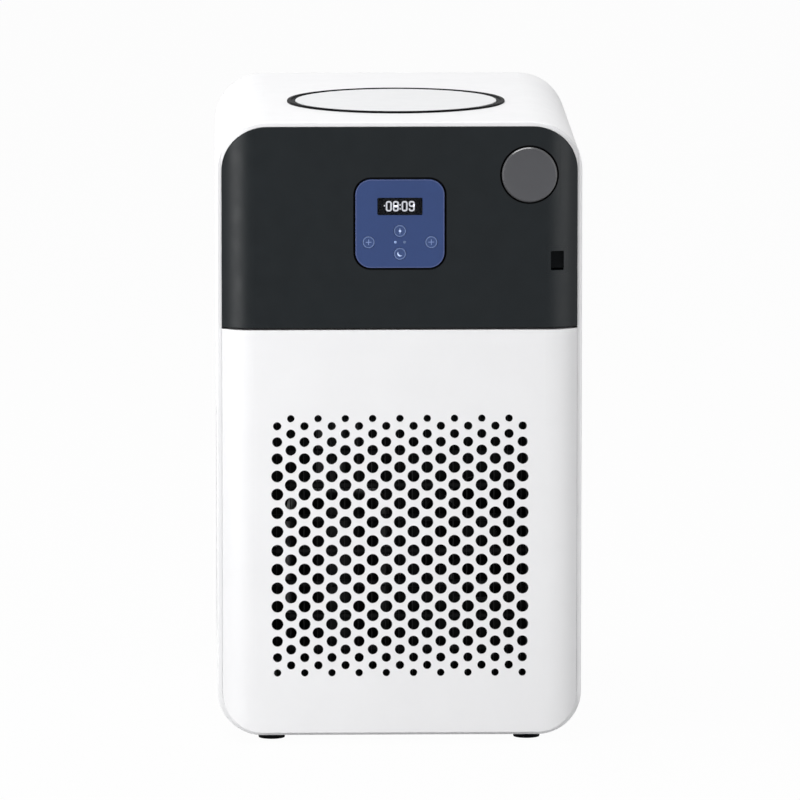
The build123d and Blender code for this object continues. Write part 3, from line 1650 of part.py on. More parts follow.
def main():
    """Build every node and write it."""
    os.makedirs("parts", exist_ok=True)
    foot_front_y = foot_end_inset + foot_radius
    foot_rear_y = casing_back - foot_end_inset - foot_radius
    nodes = {
        "casing_shell": make_casing(),
        "base_plate": make_base_plate(),
        "equipment_deck": make_deck(),
        "rear_panel": make_rear_panel(),
        "rear_panel_screws": make_rear_screws(),
        "front_feet": make_feet(foot_front_y),
        "rear_feet": make_feet(foot_rear_y),
        "control_fascia": make_fascia(),
        "grille_cover": make_grille_cover(),
        "key_panel": make_key_panel(),
        "display_window": make_window(),
        "display_module": make_display_module(),
        "display_digits": make_digits(),
        "indicator_lights": make_lamps(),
        "key_switches": make_key_switches(),
        "control_board": make_control_board(),
        "control_knob": make_knob(),
        "knob_encoder": make_encoder(),
        "switch_bezel": make_switch_bezel(),
        "switch_housing": make_switch_housing(),
        "power_rocker": make_rocker(),
        "lid_disc": make_lid_disc(),
        "lid_gasket": make_lid_gasket(),
        "lid_core": make_lid_core(),
        "bath_rim": make_bath_rim(),
        "bath_tank": make_tank(),
        "tank_insulation": make_insulation(),
        "cooling_coil": make_cooling_coil(),
        "bath_heater": make_heater(),
        "temperature_probe": make_probe(),
        "pump_housing": make_pump_housing(),
        "pump_impeller": make_impeller(),
        "pump_motor": make_pump_motor(),
        "suction_hose": make_suction_hose(),
        "outlet_hose": make_outlet_hose(),
        "return_hose": make_return_hose(),
        "drain_hose": make_drain_hose(),
        "outlet_port": make_port(-port_reach),
        "return_port": make_port(port_reach),
        "drain_tap": make_drain_tap(),
        "drain_handle": make_drain_handle(),
        "mains_inlet": make_mains_inlet(),
        "power_box": make_power_box(),
        "compressor": make_compressor(),
        "compressor_grommets": make_grommets(),
        "condenser_fins": make_fins(),
        "condenser_tube": make_condenser_tube(),
        "condenser_frame": make_condenser_frame(),
        "fan_shroud": make_shroud(),
        "fan_rotor": make_fan_rotor(),
        "fan_motor": make_fan_motor(),
        "filter_drier": make_drier(),
        "discharge_line": make_discharge_line(),
        "liquid_lines": make_liquid_lines(),
        "suction_line": make_suction_line(),
    }
    for name, place in key_places().items():
        nodes[name] = make_key(place)
    for name, shape in nodes.items():
        write_part(name, shape)


main()
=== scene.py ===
"""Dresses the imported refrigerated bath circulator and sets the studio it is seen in.

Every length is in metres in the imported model's frame: X right, Y back, Z up from the floor.
"""

import logging
import math
from collections.abc import Iterable, Sequence
from dataclasses import dataclass
from enum import Enum
from functools import partial, reduce

import bmesh
import bpy
from mathutils import Matrix, Vector


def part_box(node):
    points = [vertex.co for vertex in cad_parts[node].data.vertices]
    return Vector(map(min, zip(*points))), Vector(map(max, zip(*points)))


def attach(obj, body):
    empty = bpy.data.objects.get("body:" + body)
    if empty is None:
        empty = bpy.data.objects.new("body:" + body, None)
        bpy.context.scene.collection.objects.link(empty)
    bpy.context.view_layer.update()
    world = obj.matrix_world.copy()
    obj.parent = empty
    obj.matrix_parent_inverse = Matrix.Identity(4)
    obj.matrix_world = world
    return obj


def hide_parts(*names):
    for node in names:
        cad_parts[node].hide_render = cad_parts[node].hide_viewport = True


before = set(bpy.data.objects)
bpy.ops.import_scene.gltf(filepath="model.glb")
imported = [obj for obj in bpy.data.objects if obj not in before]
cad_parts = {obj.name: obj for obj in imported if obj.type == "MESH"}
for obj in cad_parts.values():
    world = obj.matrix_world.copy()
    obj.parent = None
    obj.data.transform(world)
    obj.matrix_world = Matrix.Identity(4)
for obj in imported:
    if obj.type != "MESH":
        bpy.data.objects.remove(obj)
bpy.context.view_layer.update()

log = logging.getLogger("circulator")

MM = 0.001
MERGE_DISTANCE = 0.01 * MM
FACING_FRONT = Matrix(((1, 0, 0, 0), (0, 0, -1, 0), (0, 1, 0, 0), (0, 0, 0, 1)))

# Rays by which a thing is seen or mirrored.
SEEN_BY = ("Is Camera Ray", "Is Glossy Ray", "Is Transmission Ray")

Colour = tuple[float, float, float]
Point = tuple[float, float, float]
Spot = tuple[float, float]
Tree = bpy.types.NodeTree
Socket = bpy.types.NodeSocket
Sockets = bpy.types.bpy_prop_collection
Shape = bmesh.types.BMesh


def calculated(tree: Tree, operation: str, *values: float | Socket) -> Socket:
    """Adds a calculation to a node tree.

    Args:
        tree: The nodes it joins.
        operation: What it does with its values.
        *values: Plain numbers, or outputs to link.

    Returns:
        The result's output.
    """
    node = tree.nodes.new("ShaderNodeMath")
    node.operation = operation
    for value, socket in zip(values, node.inputs):
        if isinstance(value, Socket):
            tree.links.new(value, socket)
        else:
            socket.default_value = value
    return node.outputs["Value"]


def facing_front(x: float, y: float, z: float) -> Matrix:
    """Place of a shape that is drawn in XY, rises along Z and is turned to the front."""
    return Matrix.Translation((x, y, z)) @ FACING_FRONT


class Surface(Enum):
    """How a finish's surface is worked, which chooses its relief."""

    PAINTED = "painted"
    MOULDED = "moulded"
    BRUSHED = "brushed"
    TURNED = "turned"
    CAST = "cast"
    FOAMED = "foamed"
    POLISHED = "polished"
    LAMINATED = "laminated"


@dataclass(frozen=True)
class Hollow:
    """A square hollow in the fascia, whose faces are painted near-black as shade.

    Attributes:
        node: The node that sits in it and gives its middle and size.
        margin: How far it reaches past that node.
        depth: How far behind the fascia's front it starts.
    """

    node: str
    margin: float
    depth: float


@dataclass(frozen=True)
class Finish:
    """One finish of the object.

    Attributes:
        slot: The record's material slot that the finish dresses.
        colour: Linear base colour.
        roughness: Middle roughness.
        surface: How the surface is worked.
        spread: Share by which the colour varies over the surface.
        mottle: Frequency of the colour's variation, per metre.
        roughness_spread: How far the roughness varies either way.
        relief: Frequency of the relief, per metre.
        depth: Height of the relief.
        metallic: Metal share.
        specular: Specular level.
        opacity: How solid the finish is to a straight look through it.
        glow: Strength of its own light.
        dust: How much dust lies on faces that look up.
        shaded_inside: Whether faces that look into the casing are painted near-black as shade.
        turned_about: Centre of the turning marks, for a turned surface.
        hollows: The hollows whose faces are painted near-black and fully rough as shade.
    """

    slot: str
    colour: Colour
    roughness: float
    surface: Surface = Surface.MOULDED
    spread: float = 0.05
    mottle: float = 22.0
    roughness_spread: float = 0.05
    relief: float = 1400.0
    depth: float = 0.01 * MM
    metallic: float = 0.0
    specular: float = 0.5
    opacity: float = 1.0
    glow: float = 0.0
    dust: float = 0.0
    shaded_inside: bool = False
    turned_about: Point = (0.0, 0.0, 0.0)
    hollows: tuple[Hollow, ...] = ()


def finishes() -> list[Finish]:
    """Every finish of the object, in the record's slots.

    Returns:
        One finish for each slot.
    """
    knob_low, knob_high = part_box("control_knob")
    knob_middle = tuple((knob_low + knob_high) / 2)
    # Hollows round the knob and key panel, painted dark as shade.
    hollows = (
        Hollow("control_knob", margin=3.0 * MM, depth=2.2 * MM),
        Hollow("key_panel", margin=2.05 * MM, depth=0.4 * MM),
    )
    painted, moulded, cast = Surface.PAINTED, Surface.MOULDED, Surface.CAST
    brushed, polished = Surface.BRUSHED, Surface.POLISHED
    return [
        Finish(
            "white_shell", (0.79, 0.79, 0.80), 0.42, painted, spread=0.01, specular=0.4, shaded_inside=True
        ),
        Finish("white_lid", (0.70, 0.705, 0.715), 0.4, painted, spread=0.01, specular=0.4),
        Finish(
            "dark_fascia",
            (0.0020, 0.0042, 0.0058),
            0.41,
            painted,
            spread=0.06,
            specular=0.22,
            hollows=hollows,
        ),
        Finish("blue_panel", (0.020, 0.045, 0.148), 0.34, painted, spread=0.03, specular=0.38),
        Finish("key_cap", (0.030, 0.058, 0.165), 0.38, moulded, spread=0.04, specular=0.35),
        Finish(
            "grey_knob",
            (0.046, 0.047, 0.053),
            0.3,
            Surface.TURNED,
            spread=0.02,
            roughness_spread=0.015,
            relief=2600.0,
            depth=0.006 * MM,
            specular=0.6,
            turned_about=knob_middle,
        ),
        Finish("display_pane", (0.005, 0.006, 0.009), 0.12, polished, specular=0.16, opacity=0.4),
        Finish("display_dark", (0.002, 0.002, 0.003), 0.5, moulded, specular=0.1),
        Finish("display_light", (0.9, 0.92, 1.0), 0.4, polished, glow=1.6),
        Finish("lamp", (0.26, 0.36, 0.62), 0.3, polished, specular=0.3, glow=0.1),
        Finish("lamp_off", (0.10, 0.15, 0.28), 0.3, polished, specular=0.3),
        Finish("black_rubber", (0.004, 0.004, 0.005), 0.62, cast, spread=0.25, specular=0.03),
        Finish("black_plastic", (0.004, 0.0045, 0.005), 0.42, moulded, spread=0.1, specular=0.2),
        Finish("switch_black", (0.0032, 0.0042, 0.0052), 0.5, moulded, spread=0.1, specular=0.06),
        Finish("rim_black", (0.0025, 0.0025, 0.003), 0.5, moulded, spread=0.1, specular=0.04),
        Finish("stainless", (0.60, 0.60, 0.59), 0.26, brushed, depth=0.006 * MM, metallic=1.0),
        Finish(
            "zinc_steel", (0.46, 0.48, 0.50), 0.42, brushed, spread=0.12, metallic=1.0, dust=0.3
        ),
        Finish(
            "foam",
            (0.42, 0.39, 0.30),
            0.9,
            Surface.FOAMED,
            spread=0.16,
            relief=420.0,
            depth=0.6 * MM,
        ),
        Finish("copper", (0.72, 0.33, 0.20), 0.32, brushed, spread=0.2, mottle=40.0, metallic=1.0),
        Finish("aluminium_fin", (0.011, 0.012, 0.013), 0.55, brushed, spread=0.2, specular=0.3),
        Finish("clear_hose", (0.10, 0.10, 0.098), 0.42, moulded, spread=0.1, specular=0.3),
        Finish(
            "circuit_board", (0.016, 0.085, 0.038), 0.4, Surface.LAMINATED, spread=0.3, mottle=180.0
        ),
        Finish("compressor_black", (0.014, 0.014, 0.015), 0.38, painted, spread=0.2, dust=0.25),
        Finish("screw_steel", (0.50, 0.51, 0.53), 0.3, brushed, spread=0.08, metallic=1.0),
        Finish("knob_edge", (0.05, 0.05, 0.055), 0.24, polished, spread=0.02, specular=0.9),
        # Paler than the blue panel: a painted highlight along the key panel's edge.
        Finish("panel_edge", (0.058, 0.084, 0.215), 0.3, painted, spread=0.02, specular=0.5),
        Finish("key_outline", (0.13, 0.185, 0.36), 0.45, moulded, spread=0.03, specular=0.2),
        Finish("key_sign", (0.52, 0.64, 0.95), 0.45, moulded, spread=0.02, glow=0.15),
        Finish("key_sign_faint", (0.20, 0.27, 0.50), 0.45, moulded, spread=0.02, specular=0.2),
    ]


class Effects:
    """Node groups that several finishes share, each built once."""

    GRIT_FINER = 1.7
    BRUSH_STRETCH = (1.0, 1.0, 0.03)

    def __init__(self) -> None:
        """Builds every group."""
        self.mottle = self._mottle()
        self.peel = self._peel()
        self.brush = self._brush()
        self.turning = self._turning()
        self.pits = self._pits()
        self.dust = self._dust()
        self.inward = self._inward()
        self.sunken = self._sunken()

    @staticmethod
    def _group(
        name: str, values: dict[str, float], output: str
    ) -> tuple[Tree, Sockets, Socket, Sockets]:
        """Starts a group with number inputs and one number output.

        Args:
            name: The group's name.
            values: Default value of each input.
            output: Name of the output.

        Returns:
            The group, its given values, the place on the object, and the group's own results.
        """
        tree = bpy.data.node_groups.new(name, "ShaderNodeTree")
        for label, value in values.items():
            socket = tree.interface.new_socket(label, in_out="INPUT", socket_type="NodeSocketFloat")
            socket.default_value = value
        tree.interface.new_socket(output, in_out="OUTPUT", socket_type="NodeSocketFloat")
        given = tree.nodes.new("NodeGroupInput").outputs
        results = tree.nodes.new("NodeGroupOutput").inputs
        place = tree.nodes.new("ShaderNodeTexCoord").outputs["Object"]
        return tree, given, place, results

    @staticmethod
    def _noise(tree: Tree, place: Socket, scale: Socket, detail: float) -> bpy.types.Node:
        """Adds a cloudy noise.

        Args:
            tree: The group it joins.
            place: Where it is read.
            scale: Its frequency, per metre.
            detail: How many finer layers it has.

        Returns:
            The noise node.
        """
        noise = tree.nodes.new("ShaderNodeTexNoise")
        noise.inputs["Detail"].default_value = detail
        tree.links.new(place, noise.inputs["Vector"])
        tree.links.new(scale, noise.inputs["Scale"])
        return noise

    def _mottle(self) -> Tree:
        """Soft uneven patches between a low and a high value.

        Returns:
            The group.
        """
        values = {"Scale": 20.0, "Low": 0.0, "High": 1.0}
        tree, given, place, results = self._group("Mottle", values, "Value")
        noise = self._noise(tree, place, given["Scale"], detail=4.0)
        noise.inputs["Roughness"].default_value = 0.55
        spread = tree.nodes.new("ShaderNodeMapRange")
        spread.inputs["From Min"].default_value = 0.3
        spread.inputs["From Max"].default_value = 0.7
        tree.links.new(noise.outputs["Fac"], spread.inputs["Value"])
        tree.links.new(given["Low"], spread.inputs["To Min"])
        tree.links.new(given["High"], spread.inputs["To Max"])
        tree.links.new(spread.outputs["Result"], results["Value"])
        return tree

    def _peel(self) -> Tree:
        """Fine rounded relief of powder coat, moulded grain and cast rubber.

        Returns:
            The group.
        """
        tree, given, place, results = self._group("Peel", {"Scale": 1400.0, "Grit": 0.3}, "Height")
        wave = self._noise(tree, place, given["Scale"], detail=2.0)
        grit = tree.nodes.new("ShaderNodeTexVoronoi")
        grit.feature = "SMOOTH_F1"
        tree.links.new(place, grit.inputs["Vector"])
        finer = calculated(tree, "MULTIPLY", given["Scale"], self.GRIT_FINER)
        tree.links.new(finer, grit.inputs["Scale"])
        blend = tree.nodes.new("ShaderNodeMix")
        tree.links.new(given["Grit"], blend.inputs["Factor"])
        tree.links.new(wave.outputs["Fac"], blend.inputs["A"])
        tree.links.new(grit.outputs["Distance"], blend.inputs["B"])
        tree.links.new(blend.outputs["Result"], results["Height"])
        return tree

    def _brush(self) -> Tree:
        """Long fine lines along Z, as on rolled and brushed metal.

        Returns:
            The group.
        """
        tree, given, place, results = self._group("Brush", {"Scale": 1400.0}, "Height")
        stretch = tree.nodes.new("ShaderNodeMapping")
        stretch.inputs["Scale"].default_value = self.BRUSH_STRETCH
        tree.links.new(place, stretch.inputs["Vector"])
        lines = self._noise(tree, stretch.outputs["Vector"], given["Scale"], detail=3.0)
        tree.links.new(lines.outputs["Fac"], results["Height"])
        return tree

    def _turning(self) -> Tree:
        """Rings about an axis along Y, as a lathe leaves on a disc's face.

        Returns:
            The group.
        """
        values = {"Scale": 2600.0, "Centre X": 0.0, "Centre Z": 0.0}
        tree, given, place, results = self._group("Turning", values, "Height")
        split = tree.nodes.new("ShaderNodeSeparateXYZ")
        join = tree.nodes.new("ShaderNodeCombineXYZ")
        length = tree.nodes.new("ShaderNodeVectorMath")
        length.operation = "LENGTH"
        rings = tree.nodes.new("ShaderNodeTexNoise")
        rings.noise_dimensions = "1D"
        rings.inputs["Detail"].default_value = 2.0
        tree.links.new(place, split.inputs["Vector"])
        for axis in ("X", "Z"):
            shift = calculated(tree, "SUBTRACT", split.outputs[axis], given[f"Centre {axis}"])
            tree.links.new(shift, join.inputs[axis])
        tree.links.new(join.outputs["Vector"], length.inputs[0])
        tree.links.new(length.outputs["Value"], rings.inputs["W"])
        tree.links.new(given["Scale"], rings.inputs["Scale"])
        tree.links.new(rings.outputs["Fac"], results["Height"])
        return tree

    def _pits(self) -> Tree:
        """Open cells of cut foam.

        Returns:
            The group.
        """
        tree, given, place, results = self._group("Pits", {"Scale": 400.0}, "Height")
        cells = tree.nodes.new("ShaderNodeTexVoronoi")
        cells.feature = "F1"
        tree.links.new(place, cells.inputs["Vector"])
        tree.links.new(given["Scale"], cells.inputs["Scale"])
        tree.links.new(cells.outputs["Distance"], results["Height"])
        return tree

    def _dust(self) -> Tree:
        """Mask of settled dust on faces that look up.

        Returns:
            The group.
        """
        tree, given, place, results = self._group("Dust", {"Amount": 0.3, "Scale": 60.0}, "Mask")
        shape = tree.nodes.new("ShaderNodeNewGeometry")
        split = tree.nodes.new("ShaderNodeSeparateXYZ")
        slope = tree.nodes.new("ShaderNodeMapRange")
        slope.inputs["From Min"].default_value = 0.35
        slope.inputs["From Max"].default_value = 0.95
        noise = self._noise(tree, place, given["Scale"], detail=5.0)
        tree.links.new(shape.outputs["Normal"], split.inputs["Vector"])
        tree.links.new(split.outputs["Z"], slope.inputs["Value"])
        patch = calculated(tree, "MULTIPLY", slope.outputs["Result"], noise.outputs["Fac"])
        tree.links.new(calculated(tree, "MULTIPLY", patch, given["Amount"]), results["Mask"])
        return tree

    def _inward(self) -> Tree:
        """Mask of faces that look towards a height on the middle axis, as inside a casing, where
        shade is painted.

        Returns:
            The group.
        """
        tree, given, place, results = self._group("Inward", {"Middle Z": 0.3}, "Mask")
        middle = tree.nodes.new("ShaderNodeCombineXYZ")
        away = tree.nodes.new("ShaderNodeVectorMath")
        away.operation = "SUBTRACT"
        shape = tree.nodes.new("ShaderNodeNewGeometry")
        turn = tree.nodes.new("ShaderNodeVectorMath")
        turn.operation = "DOT_PRODUCT"
        tree.links.new(given["Middle Z"], middle.inputs["Z"])
        tree.links.new(place, away.inputs[0])
        tree.links.new(middle.outputs["Vector"], away.inputs[1])
        tree.links.new(shape.outputs["True Normal"], turn.inputs[0])
        tree.links.new(away.outputs["Vector"], turn.inputs[1])
        tree.links.new(calculated(tree, "LESS_THAN", turn.outputs["Value"], 0.0), results["Mask"])
        return tree

    def _sunken(self) -> Tree:
        """Mask of what lies deeper than a front plane, within a square about a middle, where shade
        is painted.

        Returns:
            The group.
        """
        values = {"Middle X": 0.0, "Middle Z": 0.0, "Reach": 0.01, "Front": 0.0}
        tree, given, place, results = self._group("Sunken", values, "Mask")
        split = tree.nodes.new("ShaderNodeSeparateXYZ")
        tree.links.new(place, split.inputs["Vector"])
        mask = calculated(tree, "GREATER_THAN", split.outputs["Y"], given["Front"])
        for axis in ("X", "Z"):
            middle = given[f"Middle {axis}"]
            near = calculated(tree, "COMPARE", split.outputs[axis], middle, given["Reach"])
            mask = calculated(tree, "MULTIPLY", mask, near)
        tree.links.new(mask, results["Mask"])
        return tree


class Palette:
    """Makes the materials of all finishes and dresses pieces with them."""

    RELIEFS = {
        Surface.PAINTED: ("peel", 0.25),
        Surface.MOULDED: ("peel", 0.35),
        Surface.CAST: ("peel", 0.8),
        Surface.LAMINATED: ("peel", 0.5),
        Surface.POLISHED: ("peel", 0.1),
        Surface.BRUSHED: ("brush", 0.0),
        Surface.TURNED: ("turning", 0.0),
        Surface.FOAMED: ("pits", 0.0),
    }
    OVERRIDES = {
        "power_rocker": "switch_black",
        "switch_housing": "switch_black",
        "bath_rim": "rim_black",
    }
    DUST_COLOUR = (0.33, 0.31, 0.28)
    # Near-black colour painted on faces inside the casing as shade.
    PAINTED_INNER_SHADE = (0.006, 0.006, 0.007)
    # Near-black colour painted into the fascia's hollows as shade.
    PAINTED_SHADE = (0.0004, 0.0004, 0.0006)
    WEAR_FINER = 2.7
    LEAST_ROUGHNESS = 0.02
    # Where a Mix node keeps its colour sockets.
    FIRST_COLOUR, SECOND_COLOUR, MIXED_COLOUR = 6, 7, 2

    def __init__(self, effects: Effects) -> None:
        """Makes every material.

        Args:
            effects: The node groups shared by the finishes.
        """
        self.effects = effects
        self.materials = {finish.slot: self._make(finish) for finish in finishes()}

    def __getitem__(self, slot: str) -> bpy.types.Material:
        """The material of a slot."""
        return self.materials[slot]

    def dress_frame(self) -> None:
        """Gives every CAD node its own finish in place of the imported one."""
        for name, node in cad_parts.items():
            for holder in node.material_slots:
                base = holder.material.name.split(".")[0]
                holder.material = self.materials[self.OVERRIDES.get(name, base)]
            log.info("dressed %s", name)

    def _make(self, finish: Finish) -> bpy.types.Material:
        """Builds one material.

        Args:
            finish: What it looks like.

        Returns:
            The new material.
        """
        material = bpy.data.materials.new(f"{finish.slot}_finish")
        material.use_nodes = True
        tree = material.node_tree
        shader = tree.nodes["Principled BSDF"]
        shader.inputs["Metallic"].default_value = finish.metallic
        shader.inputs["Specular IOR Level"].default_value = finish.specular
        shader.inputs["Alpha"].default_value = finish.opacity
        shader.inputs["Emission Color"].default_value = (*finish.colour, 1.0)
        shader.inputs["Emission Strength"].default_value = finish.glow
        tree.links.new(self._colour(tree, finish), shader.inputs["Base Color"])
        tree.links.new(self._roughness(tree, finish), shader.inputs["Roughness"])
        tree.links.new(self._relief(tree, finish), shader.inputs["Normal"])
        return material

    @staticmethod
    def _use(tree: Tree, group: Tree, **values: float) -> bpy.types.Node:
        """Places a shared group in a material.

        Args:
            tree: The material's nodes.
            group: The group to place.
            **values: Its input values, with spaces written as underscores.

        Returns:
            The placed node.
        """
        node = tree.nodes.new("ShaderNodeGroup")
        node.node_tree = group
        for label, value in values.items():
            node.inputs[label.replace("_", " ")].default_value = value
        return node

    def _blend(
        self, tree: Tree, mask: Socket, low: Colour | Socket, high: Colour | Socket
    ) -> Socket:
        """Mixes two colours by a mask.

        Args:
            tree: The material's nodes.
            mask: What chooses between them.
            low: Colour, or colour output, where the mask is 0.
            high: Colour, or colour output, where the mask is 1.

        Returns:
            The mixed colour.
        """
        mix = tree.nodes.new("ShaderNodeMix")
        mix.data_type = "RGBA"
        tree.links.new(mask, mix.inputs["Factor"])
        for value, index in ((low, self.FIRST_COLOUR), (high, self.SECOND_COLOUR)):
            if isinstance(value, tuple):
                mix.inputs[index].default_value = (*value, 1.0)
            else:
                tree.links.new(value, mix.inputs[index])
        return mix.outputs[self.MIXED_COLOUR]

    def _colour(self, tree: Tree, finish: Finish) -> Socket:
        """The base colour: mottled, dusty on top, with painted shade inside the casing and in
        hollows.

        Args:
            tree: The material's nodes.
            finish: What the material looks like.

        Returns:
            The colour.
        """
        mottle = self._use(tree, self.effects.mottle, Scale=finish.mottle)
        low = tuple(channel * (1 - finish.spread) for channel in finish.colour)
        high = tuple(min(channel * (1 + finish.spread), 1.0) for channel in finish.colour)
        colour = self._blend(tree, mottle.outputs["Value"], low, high)
        if finish.dust:
            dust = self._use(tree, self.effects.dust, Amount=finish.dust)
            colour = self._blend(tree, dust.outputs["Mask"], colour, self.DUST_COLOUR)
        # Faces inside the casing painted near-black as shade.
        if finish.shaded_inside:
            inward = self._use(tree, self.effects.inward)
            colour = self._blend(tree, inward.outputs["Mask"], colour, self.PAINTED_INNER_SHADE)
        # Hollows painted near-black as shade.
        if finish.hollows:
            colour = self._blend(tree, self._painted_shade_mask(tree, finish), colour, self.PAINTED_SHADE)
        return colour

    def _painted_shade_mask(self, tree: Tree, finish: Finish) -> Socket:
        """Where the finish lies in one of its hollows, which are painted near-black as shade.

        Args:
            tree: The material's nodes.
            finish: What the material looks like, with one hollow or more.

        Returns:
            The mask.
        """
        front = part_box("control_fascia")[0].y
        masks = []
        for hollow in finish.hollows:
            low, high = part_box(hollow.node)
            middle = (low + high) / 2
            sunken = self._use(
                tree,
                self.effects.sunken,
                Middle_X=middle.x,
                Middle_Z=middle.z,
                Reach=(high.x - low.x) / 2 + hollow.margin,
                Front=front + hollow.depth,
            )
            masks.append(sunken.outputs["Mask"])
        return reduce(partial(calculated, tree, "MAXIMUM"), masks)

    def _roughness(self, tree: Tree, finish: Finish) -> Socket:
        """The roughness, which varies at a finer scale than the colour.

        Args:
            tree: The material's nodes.
            finish: What the material looks like.

        Returns:
            The roughness.
        """
        low = max(finish.roughness - finish.roughness_spread, self.LEAST_ROUGHNESS)
        high = min(finish.roughness + finish.roughness_spread, 1.0)
        finer = finish.mottle * self.WEAR_FINER
        wear = self._use(tree, self.effects.mottle, Scale=finer, Low=low, High=high)
        roughness = wear.outputs["Value"]
        # Hollows get full roughness to go with their painted shade.
        if finish.hollows:
            roughness = calculated(tree, "MAXIMUM", roughness, self._painted_shade_mask(tree, finish))
        return roughness

    def _relief(self, tree: Tree, finish: Finish) -> Socket:
        """The surface's fine relief.

        Args:
            tree: The material's nodes.
            finish: What the material looks like.

        Returns:
            The normal.
        """
        name, grit = self.RELIEFS[finish.surface]
        values = {"Scale": finish.relief}
        if name == "peel":
            values["Grit"] = grit
        if name == "turning":
            values["Centre_X"], _, values["Centre_Z"] = finish.turned_about
        relief = self._use(tree, getattr(self.effects, name), **values)
        bump = tree.nodes.new("ShaderNodeBump")
        bump.inputs["Strength"].default_value = 1.0
        bump.inputs["Distance"].default_value = finish.depth
        tree.links.new(relief.outputs["Height"], bump.inputs["Height"])
        return bump.outputs["Normal"]


class Workshop:
    """Turns bmesh shapes into finished pieces that ride on a body."""

    def __init__(self, palette: Palette) -> None:
        """Keeps the palette at hand.

        Args:
            palette: The materials.
        """
        self.palette = palette

    def finish(
        self,
        name: str,
        shape: Shape,
        slot: str,
        body: str,
        place: Matrix,
        replaces: Sequence[str] = (),
        record_slot: str = "",
        sharp: float = 35.0,
    ) -> bpy.types.Object:
        """Makes a piece from a shape and puts it in its place.

        Args:
            name: The piece's name.
            shape: The shape, which is used up.
            slot: The finish it is dressed with.
            body: The CAD body that it rides on.
            place: Where the shape goes.
            replaces: CAD nodes that it stands for.
            record_slot: The record's slot, where it isn't the finish's own; not used.
            sharp: Angle in degrees past which an edge is drawn sharp.

        Returns:
            The new object.
        """
        bmesh.ops.remove_doubles(shape, verts=shape.verts, dist=MERGE_DISTANCE)
        bmesh.ops.recalc_face_normals(shape, faces=shape.faces)
        bmesh.ops.transform(shape, matrix=place, verts=shape.verts)
        for face in shape.faces:
            face.smooth = True
        for edge in shape.edges:
            edge.smooth = len(edge.link_faces) == 2 and edge.calc_face_angle() < math.radians(sharp)
        mesh = bpy.data.meshes.new(name)
        shape.to_mesh(mesh)
        shape.free()
        mesh.materials.append(self.palette[slot])
        piece = bpy.data.objects.new(name, mesh)
        bpy.context.scene.collection.objects.link(piece)
        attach(piece, body)
        if replaces:
            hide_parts(*replaces)
        log.info("made %s on %s", name, body)
        return piece

    @staticmethod
    def spun(profile: Iterable[Spot], steps: int, closed: bool = True) -> Shape:
        """Turns a profile of radius and height round Z.

        Args:
            profile: The profile's corners in order.
            steps: How many steps make the turn.
            closed: Whether the last corner joins the first.

        Returns:
            The turned shape.
        """
        shape = bmesh.new()
        corners = [shape.verts.new((radius, 0.0, height)) for radius, height in profile]
        pairs = list(zip(corners, corners[1:]))
        if closed:
            pairs.append((corners[-1], corners[0]))
        edges = [shape.edges.new(pair) for pair in pairs]
        bmesh.ops.spin(
            shape,
            geom=corners + edges,
            cent=(0, 0, 0),
            axis=(0, 0, 1),
            angle=math.tau,
            steps=steps,
            use_merge=True,
            use_duplicate=False,
        )
        return shape

    @staticmethod
    def raised(shape: Shape, height: float) -> Shape:
        """Gives a flat outline its thickness along Z.

        Args:
            shape: A flat shape in XY.
            height: The thickness.

        Returns:
            The same shape, raised.
        """
        grown = bmesh.ops.extrude_face_region(shape, geom=shape.faces[:])
        top = [item for item in grown["geom"] if isinstance(item, bmesh.types.BMVert)]
        bmesh.ops.translate(shape, verts=top, vec=(0, 0, height))
        return shape


